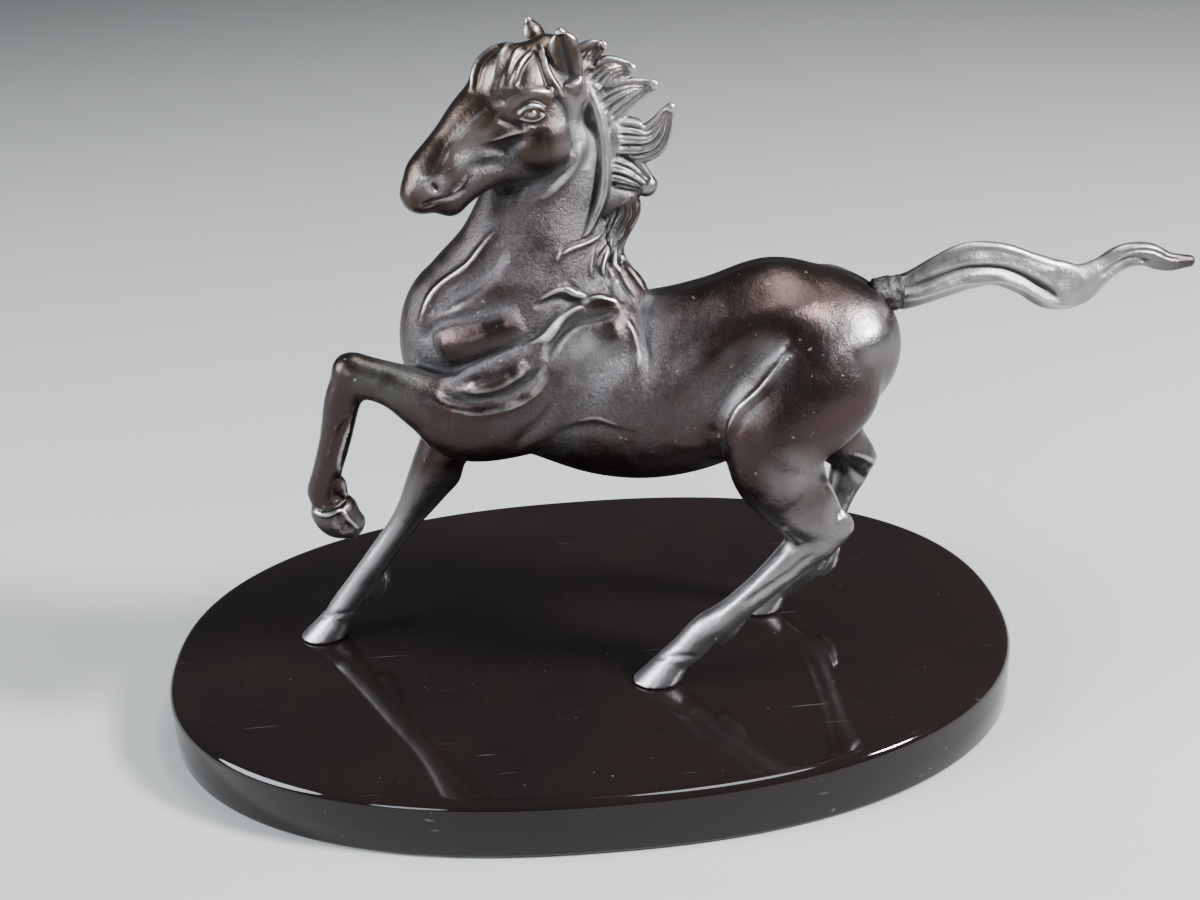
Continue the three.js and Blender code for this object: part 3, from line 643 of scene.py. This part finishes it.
def model_neck_and_hair(skins):
    """The muscles of the neck, the ears, the forelock and the mane."""
    fold = on_both_sides(skins, opposite)
    fold([(7, -24, 196), (8, -23, 189), (8.5, -24, 182), (6.5, -25.5, 175)], 1.5, -1.2)
    fold([(4, -27, 184), (4, -26, 179), (0, -28, 174), (-5, -29, 169.5), (-11, -29, 166)], 2.0, 1.1)
    fold([(-24, -23, 170), (-19, -26, 168.5), (-14, -28, 168)], 2.6, -1.0)
    settle_all(skins)
    # forelock
    for line in (
        [
            (-12.5, -22.5, 212.5), (-15.5, -25, 211), (-17.5, -28, 208.5), (-19.5, -31, 205),
            (-22, -33.5, 201),
        ],
        [(-9.5, -24, 212.5), (-14, -28, 210), (-16, -30.5, 207), (-17.5, -32.5, 203.5)],
        [(-6.5, -24, 212), (-11, -29, 209.5), (-13, -31.5, 206.5), (-14.5, -33.5, 202.5)],
        [(-13, -22, 212.5), (-18, -24.5, 210), (-21.5, -25.5, 207.5), (-25, -28, 205), (-27, -31, 202)],
    ):
        stroke(skins, line, 1.4, 0.9, ends=0.3)
        stroke(skins, shifted(line, 1.7), 0.8, -0.6, ends=0.3)
    stroke(skins, [(-5, -22.5, 212.5), (-3, -30, 208.5), (-1.5, -30, 203), (1, -28.5, 198)], 0.9, 0.9)
    stroke(skins, [(-6.5, -25, 211), (-4.5, -30, 206), (-3.5, -31, 201)], 0.8, -0.8)
    settle_all(skins)
    for lock in LOCKS[:5]:
        strands(skins, lock, (-0.7, -0.36, 0.08, 0.52), 0.62, -1.5, 0.3, 0.97)
        strands(skins, lock, (-0.54, -0.16, 0.3, 0.72), 0.42, -0.8, 0.3, 0.97)
    strands(skins, LOCKS[5], (-0.6, -0.1, 0.4), 0.8, -1.3, 0.22, 0.8)
    strands(skins, LOCKS[5], (-0.35, 0.15, 0.65), 0.5, -0.8, 0.22, 0.8)
    for line in (
        [(13, -23, 145), (16.5, -22, 140.5), (19.5, -23, 137), (22, -24, 133)],
        [(10.5, -26, 146), (13.5, -26, 141), (16, -28, 136), (18.5, -29, 132)],
        [(7.5, -29, 146), (10, -30, 141), (12.5, -32, 136), (14.5, -33, 132)],
        [(16, -20, 143), (19, -20, 139), (22, -20.5, 135)],
    ):
        stroke(skins, line, 0.8, -1.0, ends=0.3)
        stroke(skins, [opposite(p) for p in line], 0.8, -1.0, ends=0.3)
    for line in (
        [
            (22, -20, 161), (20, -20, 156), (16, -22, 152), (11.5, -25, 148),
            (9.5, -28, 143.5), (10.5, -31, 138), (13, -36, 134),
        ],
        [
            (19, -21, 162), (15, -22, 156), (11, -24, 151.5), (7.5, -28, 149), (6.5, -31, 145),
            (7.5, -32, 140.5),
        ],
        [(16, -20, 160), (11, -24, 155), (5, -29, 153), (0, -32, 152.5), (-4, -33, 150.5), (-5, -34, 148)],
        [(-4, -35, 141), (1, -35, 138.5), (6, -34, 137.5), (11, -31, 139.5), (15, -25, 139)],
        [(14, -22, 147), (17, -21, 142), (20, -21, 138), (24, -20, 134)],
    ):
        stroke(skins, line, 1.1, 1.0, ends=0.3)
        stroke(skins, [(x, 2 * MANE_Y - y, z) for x, y, z in line], 1.1, 1.0, ends=0.3)
        stroke(skins, shifted(line, 1.6, 1.4), 0.8, -0.7, ends=0.3)
    settle_all(skins)


def opposite_face(point):
    """The matching spot on the other face of the tail."""
    return (point[0], 2 * TAIL_Y - point[1], point[2])


TAIL_STROKES = (
    ([
        (106, -24, 131), (114, -24, 134.5), (121, -23.5, 137.5), (128, -23.5, 139),
        (136, -23.5, 138.5), (146, -23, 134.5), (155, -22.5, 130),
    ], 3.2, -1.3, 0.2),
    ([
        (104, -25, 128.5), (113, -25, 130.5), (119, -25, 132.5), (126, -24.5, 134), (132, -24.5, 134),
        (139, -24.5, 133), (146, -24, 130), (153, -24, 125.5), (159, -23.5, 121.5),
    ], 1.5, -2.2, 0.15),
    ([
        (105, -25, 125), (115, -25, 127), (123, -24.5, 129), (131, -23.5, 129),
        (140, -23.5, 128.5), (148, -23.5, 124.5), (157, -23, 119.5), (164, -22.5, 118.5),
    ], 1.4, 1.0, 0.1),
    ([(152, -24, 128), (158, -24, 127.5), (165, -24, 129)], 3.6, -1.0, 0.4),
    ([(171, -23.5, 128), (176, -23, 132), (182, -23, 133.5), (188, -22, 131.5)], 0.9, -0.9, 0.2),
    ([
        (169, -23, 122), (173, -23, 126.5), (179, -22, 130.5), (186, -21, 131), (192, -20.5, 128),
    ], 0.9, 0.6, 0.2),
)


def model_tail():
    """The tail's ribbon, with a groove and a flange along both faces."""
    clay = bmesh.new()
    limb(clay, TAIL, 260, 110)
    facing_out(clay)
    mesh = bpy.data.meshes.new("tail")
    clay.to_mesh(mesh)
    clay.free()
    skin = [Skin(mesh)]
    for line, width, height, ends in TAIL_STROKES:
        stroke(skin, line, width, height, ends)
    for line, width, height, ends in TAIL_STROKES:
        stroke(skin, [opposite_face(p) for p in line], width, height, ends)
    settle_all(skin)
    strands(skin, TAIL, (-0.7, -0.3), 0.8, -0.16, 0.02, 0.5)
    strands(skin, TAIL, (-0.5, 0.1, 0.5), 0.7, -0.3, 0.66, 0.97)
    settle_all(skin)
    return skin[0]


lumps = rough_out()
model_trunk(lumps)
model_shoulder(lumps)
model_legs(lumps[1:])
model_head(lumps[:1])
model_neck_and_hair(lumps)
lumps[0].smooth(1)
lumps[1].smooth(3)
tail_skin = model_tail()


def read_wear_and_shade(skin, coarse=0.0):
    """Stores how each spot stands to its surroundings, for the finish: handling rubs edges, grime
    stays in the crevices and the broad hollows get painted shade."""
    a, b = skin.edges.T
    grain = np.linalg.norm(skin.at[a] - skin.at[b], axis=1).mean()
    fine = skin.at.copy()
    for _ in range(round(2.4 / grain ** 2)):
        fine = skin.average(fine)
    broad = fine.copy()
    for _ in range(round(36 / grain ** 2)):
        broad = skin.average(broad)
    edge = ((skin.at - fine) * skin.out).sum(1)
    bulge = ((fine - broad) * skin.out).sum(1) - coarse
    for name, values in (("edge", edge / 0.5), ("bulge", bulge / 1.6)):
        layer = skin.mesh.attributes.new(name, "FLOAT", "POINT")
        layer.data.foreach_set("value", np.clip(values * 0.5 + 0.5, 0, 1).astype(np.float32))


read_wear_and_shade(lumps[0])
read_wear_and_shade(lumps[1])
read_wear_and_shade(tail_skin, 0.9)


# ---- castings cut from the modelled horse ----

def finished(name, clay, nodes):
    """Turns clay in mm above the plinth into a finished piece in metres, its saw cuts flat."""
    cuts = [f for f in clay.faces if len(f.verts) > 4]
    for cut in cuts:
        cut.smooth = False
        for e in cut.edges:
            e.smooth = False
    bmesh.ops.triangulate(clay, faces=cuts)
    place = Matrix.Scale(MM, 4) @ Matrix.Translation((0, 0, PLINTH_TOP))
    bmesh.ops.transform(clay, matrix=place, verts=clay.verts)
    mesh = bpy.data.meshes.new(name)
    clay.to_mesh(mesh)
    clay.free()
    piece = bpy.data.objects.new(name, mesh)
    bpy.context.scene.collection.objects.link(piece)
    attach(piece, "root")
    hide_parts(*nodes)
    return piece


def as_clay(mesh):
    clay = bmesh.new()
    clay.from_mesh(mesh)
    for face in clay.faces:
        face.smooth = True
    return clay


# for each leg: a spot on its cut, the way down the leg, how far the saw reaches, a spot on the leg
LEG_CUTS = {
    "near_foreleg": ((-55, -38, 112), (-1, 0, 0.35), 16, (-84, -33, 80)),
    "far_foreleg": ((-42, -7, 82), (-0.5, 0, -1), 18, (-80, 4, 25)),
    "near_hind_leg": ((65, -44, 75), (0, 0, -1), 22, (50, -44, 30)),
    "far_hind_leg": ((83, -9, 84), (0.4, 0, -1), 22, (88, -3, 40)),
}


def sever_legs(clay):
    """Saws each leg from the body where its joint is and closes both sides of the cuts."""
    for spot, away, reach, _ in LEG_CUTS.values():
        middle = Vector(spot)
        faces = [f for f in clay.faces if (f.calc_center_median() - middle).length < reach]
        edges = {e for f in faces for e in f.edges}
        verts = {v for f in faces for v in f.verts}
        geom = [*verts, *edges, *faces]
        direction = Vector(away).normalized()
        cut = bmesh.ops.bisect_plane(
            clay, geom=geom, plane_co=middle, plane_no=direction, dist=1e-4
        )["geom_cut"]
        bmesh.ops.split_edges(clay, edges=only_edges(cut))
    bmesh.ops.holes_fill(clay, edges=[e for e in clay.edges if e.is_boundary], sides=0)


def island_of(clay, spot):
    """The loose part nearest a spot."""
    start = min(clay.verts, key=lambda v: (v.co - Vector(spot)).length_squared)
    found, open_verts = {start}, [start]
    while open_verts:
        for e in open_verts.pop().link_edges:
            for v in e.verts:
                if v not in found:
                    found.add(v)
                    open_verts.append(v)
    return found


def kept_island(clay, spot):
    """A copy of the clay with only the loose part nearest a spot."""
    part = clay.copy()
    keep = island_of(part, spot)
    bmesh.ops.delete(part, geom=[v for v in part.verts if v not in keep], context="VERTS")
    return part


HEAD_SPOT, BARREL_SPOT = (-10, -18, 200), (30, -20, 133)
TAIL_CUT = (Vector((106.3, -20, 126.7)), Vector((-1, 0, -0.1)).normalized())
COLLAR = [[98, -20, 126, 5.2, 5.6], [102, -20, 126.2, 5.6, 5.5], [106.4, -20, 126.7, 5.9, 5.2]]
COLLAR_LUMPS = 0.10


def horse_castings():
    """Head first, then the body and its legs: the legs come off before the neck is sawn."""
    at, away = NECK_CUT
    head = as_clay(lumps[0].mesh)
    sawn(head, at, -away)
    made = [finished("neck_and_head_casting", kept_island(head, HEAD_SPOT), ["neck_and_head"])]
    trunk = as_clay(lumps[1].mesh)
    sever_legs(trunk)
    barrel = kept_island(trunk, BARREL_SPOT)
    sawn(barrel, at, away)
    made.append(finished("body_casting", barrel, ["body"]))
    for name, (_, _, _, spot) in LEG_CUTS.items():
        made.append(finished(name + "_casting", kept_island(trunk, spot), [name]))
    return made


def tail_casting():
    clay = as_clay(tail_skin.mesh)
    sawn(clay, *TAIL_CUT)
    return finished("tail_casting", clay, ["tail"])


def collar_casting():
    """The rough band round the root of the tail."""
    clay = bmesh.new()
    limb(clay, COLLAR, 60, 96, 0.3)
    for v in clay.verts:
        size = 1 + noise.fractal(v.co * 0.4, 0.9, 2.1, 4) * COLLAR_LUMPS
        v.co = Vector((v.co.x, TAIL_Y + (v.co.y - TAIL_Y) * size, 126.4 + (v.co.z - 126.4) * size))
    mesh = bpy.data.meshes.new("band")
    clay.to_mesh(mesh)
    clay.free()
    read_wear_and_shade(Skin(mesh), 0.3)
    band = as_clay(mesh)
    facing_out(band)
    return finished("tail_collar_band", band, ["tail_collar"])


castings = [*horse_castings(), tail_casting(), collar_casting()]


# ---- plinth and its felt ----

PLINTH_LENGTH, PLINTH_WIDTH, SQUARENESS = 300, 214, 2.28
EDGE_ROUND, FOOT = 3.2, 0.4
FELT_INSET, FELT_THICKNESS, FELT_RECESS = 8, 1.2, 1.1
STUD_BORE, COUNTERBORE, COUNTERBORE_TOP = 2.3, 6, 8


def oval_board(profile):
    """An oval board. Its profile runs from its top to its underside, as inset from the outline
    and height above the shelf."""
    clay = bmesh.new()
    bmesh.ops.create_circle(clay, segments=320, radius=1)
    edges = clay.edges[:]
    for _ in profile[1:]:
        grown = bmesh.ops.extrude_edge_only(clay, edges=edges)["geom"]
        edges = only_edges(grown)
        rim = [v for v in grown if isinstance(v, bmesh.types.BMVert)]
        bmesh.ops.translate(clay, vec=(0, 0, 1), verts=rim)
    bmesh.ops.holes_fill(clay, edges=[e for e in clay.edges if e.is_boundary], sides=0)
    half_length, half_width, power = PLINTH_LENGTH / 2, PLINTH_WIDTH / 2, 2 / SQUARENESS
    for v in clay.verts:
        inset, height = profile[round(v.co.z)]
        x = math.copysign(abs(v.co.x) ** power, v.co.x) * (half_length - inset)
        y = math.copysign(abs(v.co.y) ** power, v.co.y) * (half_width - inset)
        v.co = Vector((x, y, height - PLINTH_TOP))
    facing_out(clay)
    for face in clay.faces:
        face.smooth = True
    return clay


def rods(spots, radius, low, high):
    """Upright rods as one mesh, to bore holes with."""
    clay = bmesh.new()
    for x, y in spots:
        rod = bmesh.ops.create_cone(
            clay, cap_ends=True, segments=48, radius1=radius, radius2=radius, depth=high - low
        )
        bmesh.ops.translate(clay, vec=(x, y, (low + high) / 2), verts=rod["verts"])
    bmesh.ops.scale(clay, vec=(MM, MM, MM), verts=clay.verts)
    mesh = bpy.data.meshes.new("rods")
    clay.to_mesh(mesh)
    clay.free()
    return bpy.data.objects.new("rods", mesh)


def bored(piece, cutters):
    for cutter in cutters:
        bpy.context.scene.collection.objects.link(cutter)
        cut = piece.modifiers.new("bore", "BOOLEAN")
        cut.object = cutter
        cut.solver = "EXACT"
    shown = piece.evaluated_get(bpy.context.evaluated_depsgraph_get())
    piece.data = bpy.data.meshes.new_from_object(shown)
    piece.modifiers.clear()
    for cutter in cutters:
        bpy.data.objects.remove(cutter)


plinth_profile = [(EDGE_ROUND + 1.5, PLINTH_TOP)]
for i in range(11):
    angle = i / 10 * math.pi / 2
    rounding = EDGE_ROUND * (1 - math.sin(angle))
    plinth_profile.append((rounding, PLINTH_TOP - EDGE_ROUND * (1 - math.cos(angle))))
plinth_profile += [(0, 10), (0, FOOT + 1.2), (0.3, FOOT + 0.4), (1.0, FOOT), (2, FOOT)]
plinth_profile += [(FELT_INSET - 1.0, FOOT), (FELT_INSET - 0.3, FOOT)]
plinth_profile += [(FELT_INSET - 0.3, FOOT + FELT_RECESS), (FELT_INSET + 1, FOOT + FELT_RECESS)]
board = finished("plinth_board", oval_board(plinth_profile), ["plinth"])
bored(board, [
    rods(STANDING_HOOVES, STUD_BORE, -1, PLINTH_TOP + 1),
    rods(STANDING_HOOVES, COUNTERBORE, -1, COUNTERBORE_TOP),
])
felt_profile = [
    (FELT_INSET + 3, FELT_THICKNESS), (FELT_INSET + 0.5, FELT_THICKNESS),
    (FELT_INSET + 0.1, FELT_THICKNESS - 0.2), (FELT_INSET, FELT_THICKNESS / 2),
    (FELT_INSET + 0.15, 0.15), (FELT_INSET + 0.6, 0), (FELT_INSET + 4, 0),
]
felt_pad = finished("plinth_felt", oval_board(felt_profile), ["base_felt"])


# ---- finishes ----

class Value:
    """Something that changes over a surface; arithmetic on it adds the nodes that work it out."""

    def __init__(self, finish, socket):
        self.finish, self.socket = finish, socket

    def maths(self, operation, first, second):
        return self.finish.node("ShaderNodeMath", {"operation": operation}, {0: first, 1: second})

    def __add__(self, other):
        return self.maths("ADD", self, other)

    def __radd__(self, other):
        return self.maths("ADD", other, self)

    def __sub__(self, other):
        return self.maths("SUBTRACT", self, other)

    def __rsub__(self, other):
        return self.maths("SUBTRACT", other, self)

    def __mul__(self, other):
        return self.maths("MULTIPLY", self, other)

    def __rmul__(self, other):
        return self.maths("MULTIPLY", other, self)

    def __pow__(self, other):
        return self.maths("POWER", self, other)

    def held(self):
        """Kept between 0 and 1."""
        return self.finish.node("ShaderNodeClamp", {}, {0: self})


class Finish:
    """One material, built node by node."""

    def __init__(self, name, **fixed):
        self.material = bpy.data.materials.new(name)
        self.material.use_nodes = True
        self.tree = self.material.node_tree
        self.shader = self.tree.nodes["Principled BSDF"]
        for socket, value in fixed.items():
            self.shader.inputs[socket.replace("_", " ")].default_value = value
        self.place = self.node("ShaderNodeTexCoord", {}, {}, "Object")

    def node(self, kind, settings, sockets, result=0):
        made = self.tree.nodes.new(kind)
        for key, value in settings.items():
            setattr(made, key, value)
        for key, value in sockets.items():
            self.feed(made.inputs[key], value)
        return Value(self, made.outputs[result])

    def feed(self, socket, value):
        if isinstance(value, Value):
            self.tree.links.new(value.socket, socket)
        else:
            socket.default_value = value

    def cloud(self, size, detail=3.0, rough=0.55, offset=(0, 0, 0), stretch=(1, 1, 1)):
        """Noise whose lumps are about size mm across."""
        moved = {"Vector": self.place, "Location": offset, "Scale": stretch}
        grain = {"Scale": 1000 / size, "Detail": detail, "Roughness": rough}
        grain["Vector"] = self.node("ShaderNodeMapping", {}, moved)
        return self.node("ShaderNodeTexNoise", {}, grain, "Fac")

    def stored(self, name):
        return self.node("ShaderNodeAttribute", {"attribute_name": name}, {}, "Fac")

    def blend(self, factor, first, second):
        """Mixes two colours."""
        return self.node("ShaderNodeMix", {"data_type": "RGBA"}, {0: factor, 6: first, 7: second}, 2)

    def nearness(self, centre, reach):
        """1 at a spot in mm above the plinth, falling to 0 at a distance in mm."""
        spot = tuple(c * MM for c in (centre[0], centre[1], centre[2] + PLINTH_TOP))
        ends = {0: self.place, 1: spot}
        gap = self.node("ShaderNodeVectorMath", {"operation": "DISTANCE"}, ends, "Value")
        return (1 - gap * (1 / (reach * MM))).held()

    def height(self):
        return self.node("ShaderNodeSeparateXYZ", {}, {0: self.place}, 2)

    def set(self, **sockets):
        for name, value in sockets.items():
            self.feed(self.shader.inputs[name.replace("_", " ")], value)

    def bumped(self, height, depth):
        """Raises the surface by height times depth in mm."""
        sockets = {"Strength": 1.0, "Distance": depth * MM, "Height": height}
        self.set(Normal=self.node("ShaderNodeBump", {}, sockets, "Normal"))


def rgb(r, g, b):
    return (r, g, b, 1.0)


def bronze_finish():
    """Brown patina over cast bronze: smooth and brown on the swells, grey and grainy between,
    rubbed on the edges, with grime and painted shade in the hollows and ear cup and painted highlights on
    a few spots."""
    f = Finish("brown_bronze_patina", Coat_Weight=0.06, Coat_Roughness=0.3, Coat_IOR=1.5)
    edge, bulge = f.stored("edge"), f.stored("bulge")
    drift, mottle, grain, speck = f.cloud(38), f.cloud(7, 4), f.cloud(0.8, 4, 0.7), f.cloud(2.6, 2)
    chest = f.nearness((-14, -44, 138), 78)
    # painted shade: near-black spots down the inside of the near ear's cup
    ear = f.nearness((0.8, -26, 214), 4.6) + f.nearness((1.6, -25.8, 210), 5.4)
    ear = ear + f.nearness((2.6, -25.8, 205.5), 4.8)
    socket = f.nearness((102, -20, 126), 9)
    shins = (1 - (f.height() - 0.058) * 28).held()
    handled = (shins + f.nearness((150, -20, 132), 50) * 2.2 + f.nearness((17, -18, 188), 27) * 1.6).held()
    rubbed = ((edge - 0.69) * 4.2 + (mottle - 0.5) * 0.8).held()
    # painted shade in the broad hollows
    deep = ((0.14 - bulge) * 9).held() * (edge * 2).held()
    # darker in the fine crevices as grime and round the tail's root, plus painted shade in the broad
    # hollows and the ear cup
    grime_and_shade = ((0.38 - edge) * 4.0 + (mottle - 0.5) * 0.5 + deep * 0.5 + ear * 3.0 + socket * 0.9).held()
    matt = (0.50 - bulge) * 1.9 + (drift - 0.5) * 1.6 + (mottle - 0.5) * 0.5
    matt = (matt + (chest * 1.9).held() * 0.64).held()
    brown = f.blend(drift, rgb(0.030, 0.019, 0.016), rgb(0.056, 0.035, 0.029))
    brown = f.blend((mottle * 1.6 - 0.5).held() * 0.6, brown, rgb(0.044, 0.035, 0.041))
    grey = f.blend(((grain - 0.33) * 2.2).held(), rgb(0.052, 0.047, 0.049), rgb(0.175, 0.168, 0.174))
    color = f.blend(matt * 0.75, brown, grey)
    color = f.blend(handled * (0.45 + mottle * 0.4), color, rgb(0.38, 0.372, 0.375))
    # painted highlights: paler patches on the gaskin, hock, face, forehead, shoulder blade, thigh hollow,
    # rump and muzzle
    painted_highlights = 0.0
    for spot, reach in (
        ((66, -55, 79), 13), ((82, -48, 63), 8), ((-28, -36, 186), 9), ((-14, -31, 205), 11),
        ((4, -43, 121), 13), ((50, -48, 103), 9), ((60, -46, 116), 9), ((92, -41, 119), 17),
        ((-40, -41, 177), 7),
    ):
        painted_highlights = f.nearness(spot, reach) * 1.2 + painted_highlights
    color = f.blend((painted_highlights * (0.2 + mottle * 0.9)).held() * 0.55, color, rgb(0.30, 0.285, 0.285))
    backs = ((f.height() * 30 - 4.3).held() * (drift * 1.3)).held() * (1 - (chest * 2).held())
    color = f.blend(backs * 0.55, color, rgb(0.10, 0.070, 0.045))
    # grime and painted shade, near black
    color = f.blend(grime_and_shade * 0.85, color, rgb(0.012, 0.010, 0.010))
    color = f.blend(rubbed * 0.68, color, rgb(0.46, 0.44, 0.425))
    green = (f.nearness((-60, -37, 117), 16) * 1.5 * (mottle * 1.6 - 0.3)).held() * (1 - rubbed)
    color = f.blend(green * 0.45, color, rgb(0.05, 0.095, 0.065))
    dust = ((speck - 0.70) * 14).held()
    color = f.blend(dust * 0.35, color, rgb(0.38, 0.34, 0.30))
    metal = (0.96 - grime_and_shade * 0.3 - green * 0.5 - dust * 0.4).held()
    rough = 0.30 + matt * 0.11 + handled * 0.07 + grime_and_shade * 0.15
    rough = (rough + (mottle - 0.5) * 0.16 + (grain - 0.5) * 0.14).held()
    f.set(Base_Color=color, Metallic=metal, Roughness=rough)
    f.bumped(grain * (0.2 + matt * 0.7) + mottle * 0.8, 0.5)
    return f.material


def lacquer_finish():
    """Deep black lacquer with a little dust and a few hairline scratches."""
    f = Finish("black_lacquer", Specular_IOR_Level=0.3)
    drift, dust, fluff = f.cloud(45), f.cloud(1.1, 2), f.cloud(14, 3)
    fleck = ((dust - 0.73) * 16).held() * ((fluff - 0.45) * 5).held()
    scratch = f.cloud(2.2, 1, 0.5, offset=(3, 1, 0), stretch=(0.06, 1.4, 1))
    scratch = ((scratch - 0.735) * 30).held() * ((f.cloud(30, 2, offset=(1, 4, 2)) - 0.5) * 6).held()
    low = (1 - f.height() * 700).held()
    color = f.blend(drift, rgb(0.004, 0.003, 0.003), rgb(0.009, 0.0055, 0.0045))
    color = f.blend((fleck * 0.5 + scratch * 0.12).held(), color, rgb(0.35, 0.33, 0.31))
    color = f.blend(low * (fluff * 1.4) * 0.5, color, rgb(0.06, 0.05, 0.045))
    rough = 0.045 + (drift - 0.4) * 0.05 + fleck * 0.5 + scratch * 0.25 + low * 0.2
    f.set(Base_Color=color, Roughness=rough.held())
    f.bumped(f.cloud(60, 1) + fleck * 0.04 - scratch * 0.02, 0.12)
    return f.material


def felt_finish():
    f = Finish("dark_felt", Roughness=0.95, Sheen_Weight=0.4)
    fibre, patch = f.cloud(0.5, 5, 0.75), f.cloud(9)
    color = f.blend(fibre, rgb(0.010, 0.020, 0.014), rgb(0.035, 0.060, 0.042))
    f.set(Base_Color=f.blend(patch * 0.4, color, rgb(0.02, 0.03, 0.024)))
    f.bumped(fibre, 0.5)
    return f.material


def steel_finish():
    f = Finish("zinc_plated_steel", Metallic=1.0)
    spangle, fine = f.cloud(1.6, 3), f.cloud(0.35, 3)
    color = f.blend(spangle, rgb(0.42, 0.42, 0.41), rgb(0.62, 0.61, 0.58))
    f.set(Base_Color=color, Roughness=(0.26 + spangle * 0.2).held())
    f.bumped(fine, 0.04)
    return f.material


def floor_finish():
    f = Finish("plain_paper", Roughness=0.8)
    f.set(Base_Color=f.blend(f.cloud(300), rgb(0.33, 0.322, 0.31), rgb(0.35, 0.342, 0.33)))
    return f.material


def coated(thing, material):
    thing.data.materials.clear()
    thing.data.materials.append(material)


bronze, lacquer, felt, steel = bronze_finish(), lacquer_finish(), felt_finish(), steel_finish()
for casting in castings:
    coated(casting, bronze)
coated(board, lacquer)
coated(felt_pad, felt)
for name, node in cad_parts.items():
    if name.endswith(("stud", "washer", "nut")):
        coated(node, steel)
    else:
        coated(node, {"plinth": lacquer, "base_felt": felt}.get(name, bronze))


# ---- studio ----

bpy.ops.mesh.primitive_plane_add(size=8, location=(0, 0, 0))
floor = bpy.context.object
coated(floor, floor_finish())


def softbox(name, place, aim, size, power, color=(1, 1, 1)):
    lamp = bpy.data.lights.new(name, "AREA")
    lamp.shape = "ELLIPSE"
    lamp.size, lamp.size_y = size
    lamp.energy = power
    lamp.color = color
    made = bpy.data.objects.new(name, lamp)
    made.location = place
    made.rotation_euler = (Vector(aim) - Vector(place)).to_track_quat("-Z", "Y").to_euler()
    bpy.context.scene.collection.objects.link(made)


softbox("key", (-1.25, -0.3, 0.68), (0, 0, 0.12), (0.9, 0.9), 56, (0.84, 0.92, 1))
softbox("window", (-0.8, -1.3, 0.46), (0, 0, 0.12), (0.45, 0.45), 8, (0.86, 0.93, 1))
softbox("side", (0.98, -0.42, 0.86), (0.05, 0, 0.12), (0.24, 0.3), 72, (0.9, 0.95, 1))
softbox("top", (0.3, 0.05, 1.35), (0.05, 0, 0.1), (0.66, 0.45), 14, (0.88, 0.94, 1))
world = bpy.data.worlds.new("room")
world.use_nodes = True
world.node_tree.nodes["Background"].inputs["Color"].default_value = (0.75, 0.78, 0.85, 1)
world.node_tree.nodes["Background"].inputs["Strength"].default_value = 0.15
bpy.context.scene.world = world

camera = bpy.data.objects.new("camera", bpy.data.cameras.new("camera"))
camera.data.sensor_width = 36
camera.data.lens = 49.92
camera.data.clip_start = 0.02
bpy.context.scene.collection.objects.link(camera)
camera.location = (-0.01592, -0.52693, 0.32362)
forward = Vector((0.0402, 0.9130, -0.4059))
level = forward.cross(Vector((0, 0, 1))).normalized()
upward = level.cross(forward)
frame_axes = Matrix((level, upward, -forward)).transposed()
camera.rotation_euler = (frame_axes @ Matrix.Rotation(math.radians(-3.089), 3, "Z")).to_euler()
bpy.context.scene.camera = camera
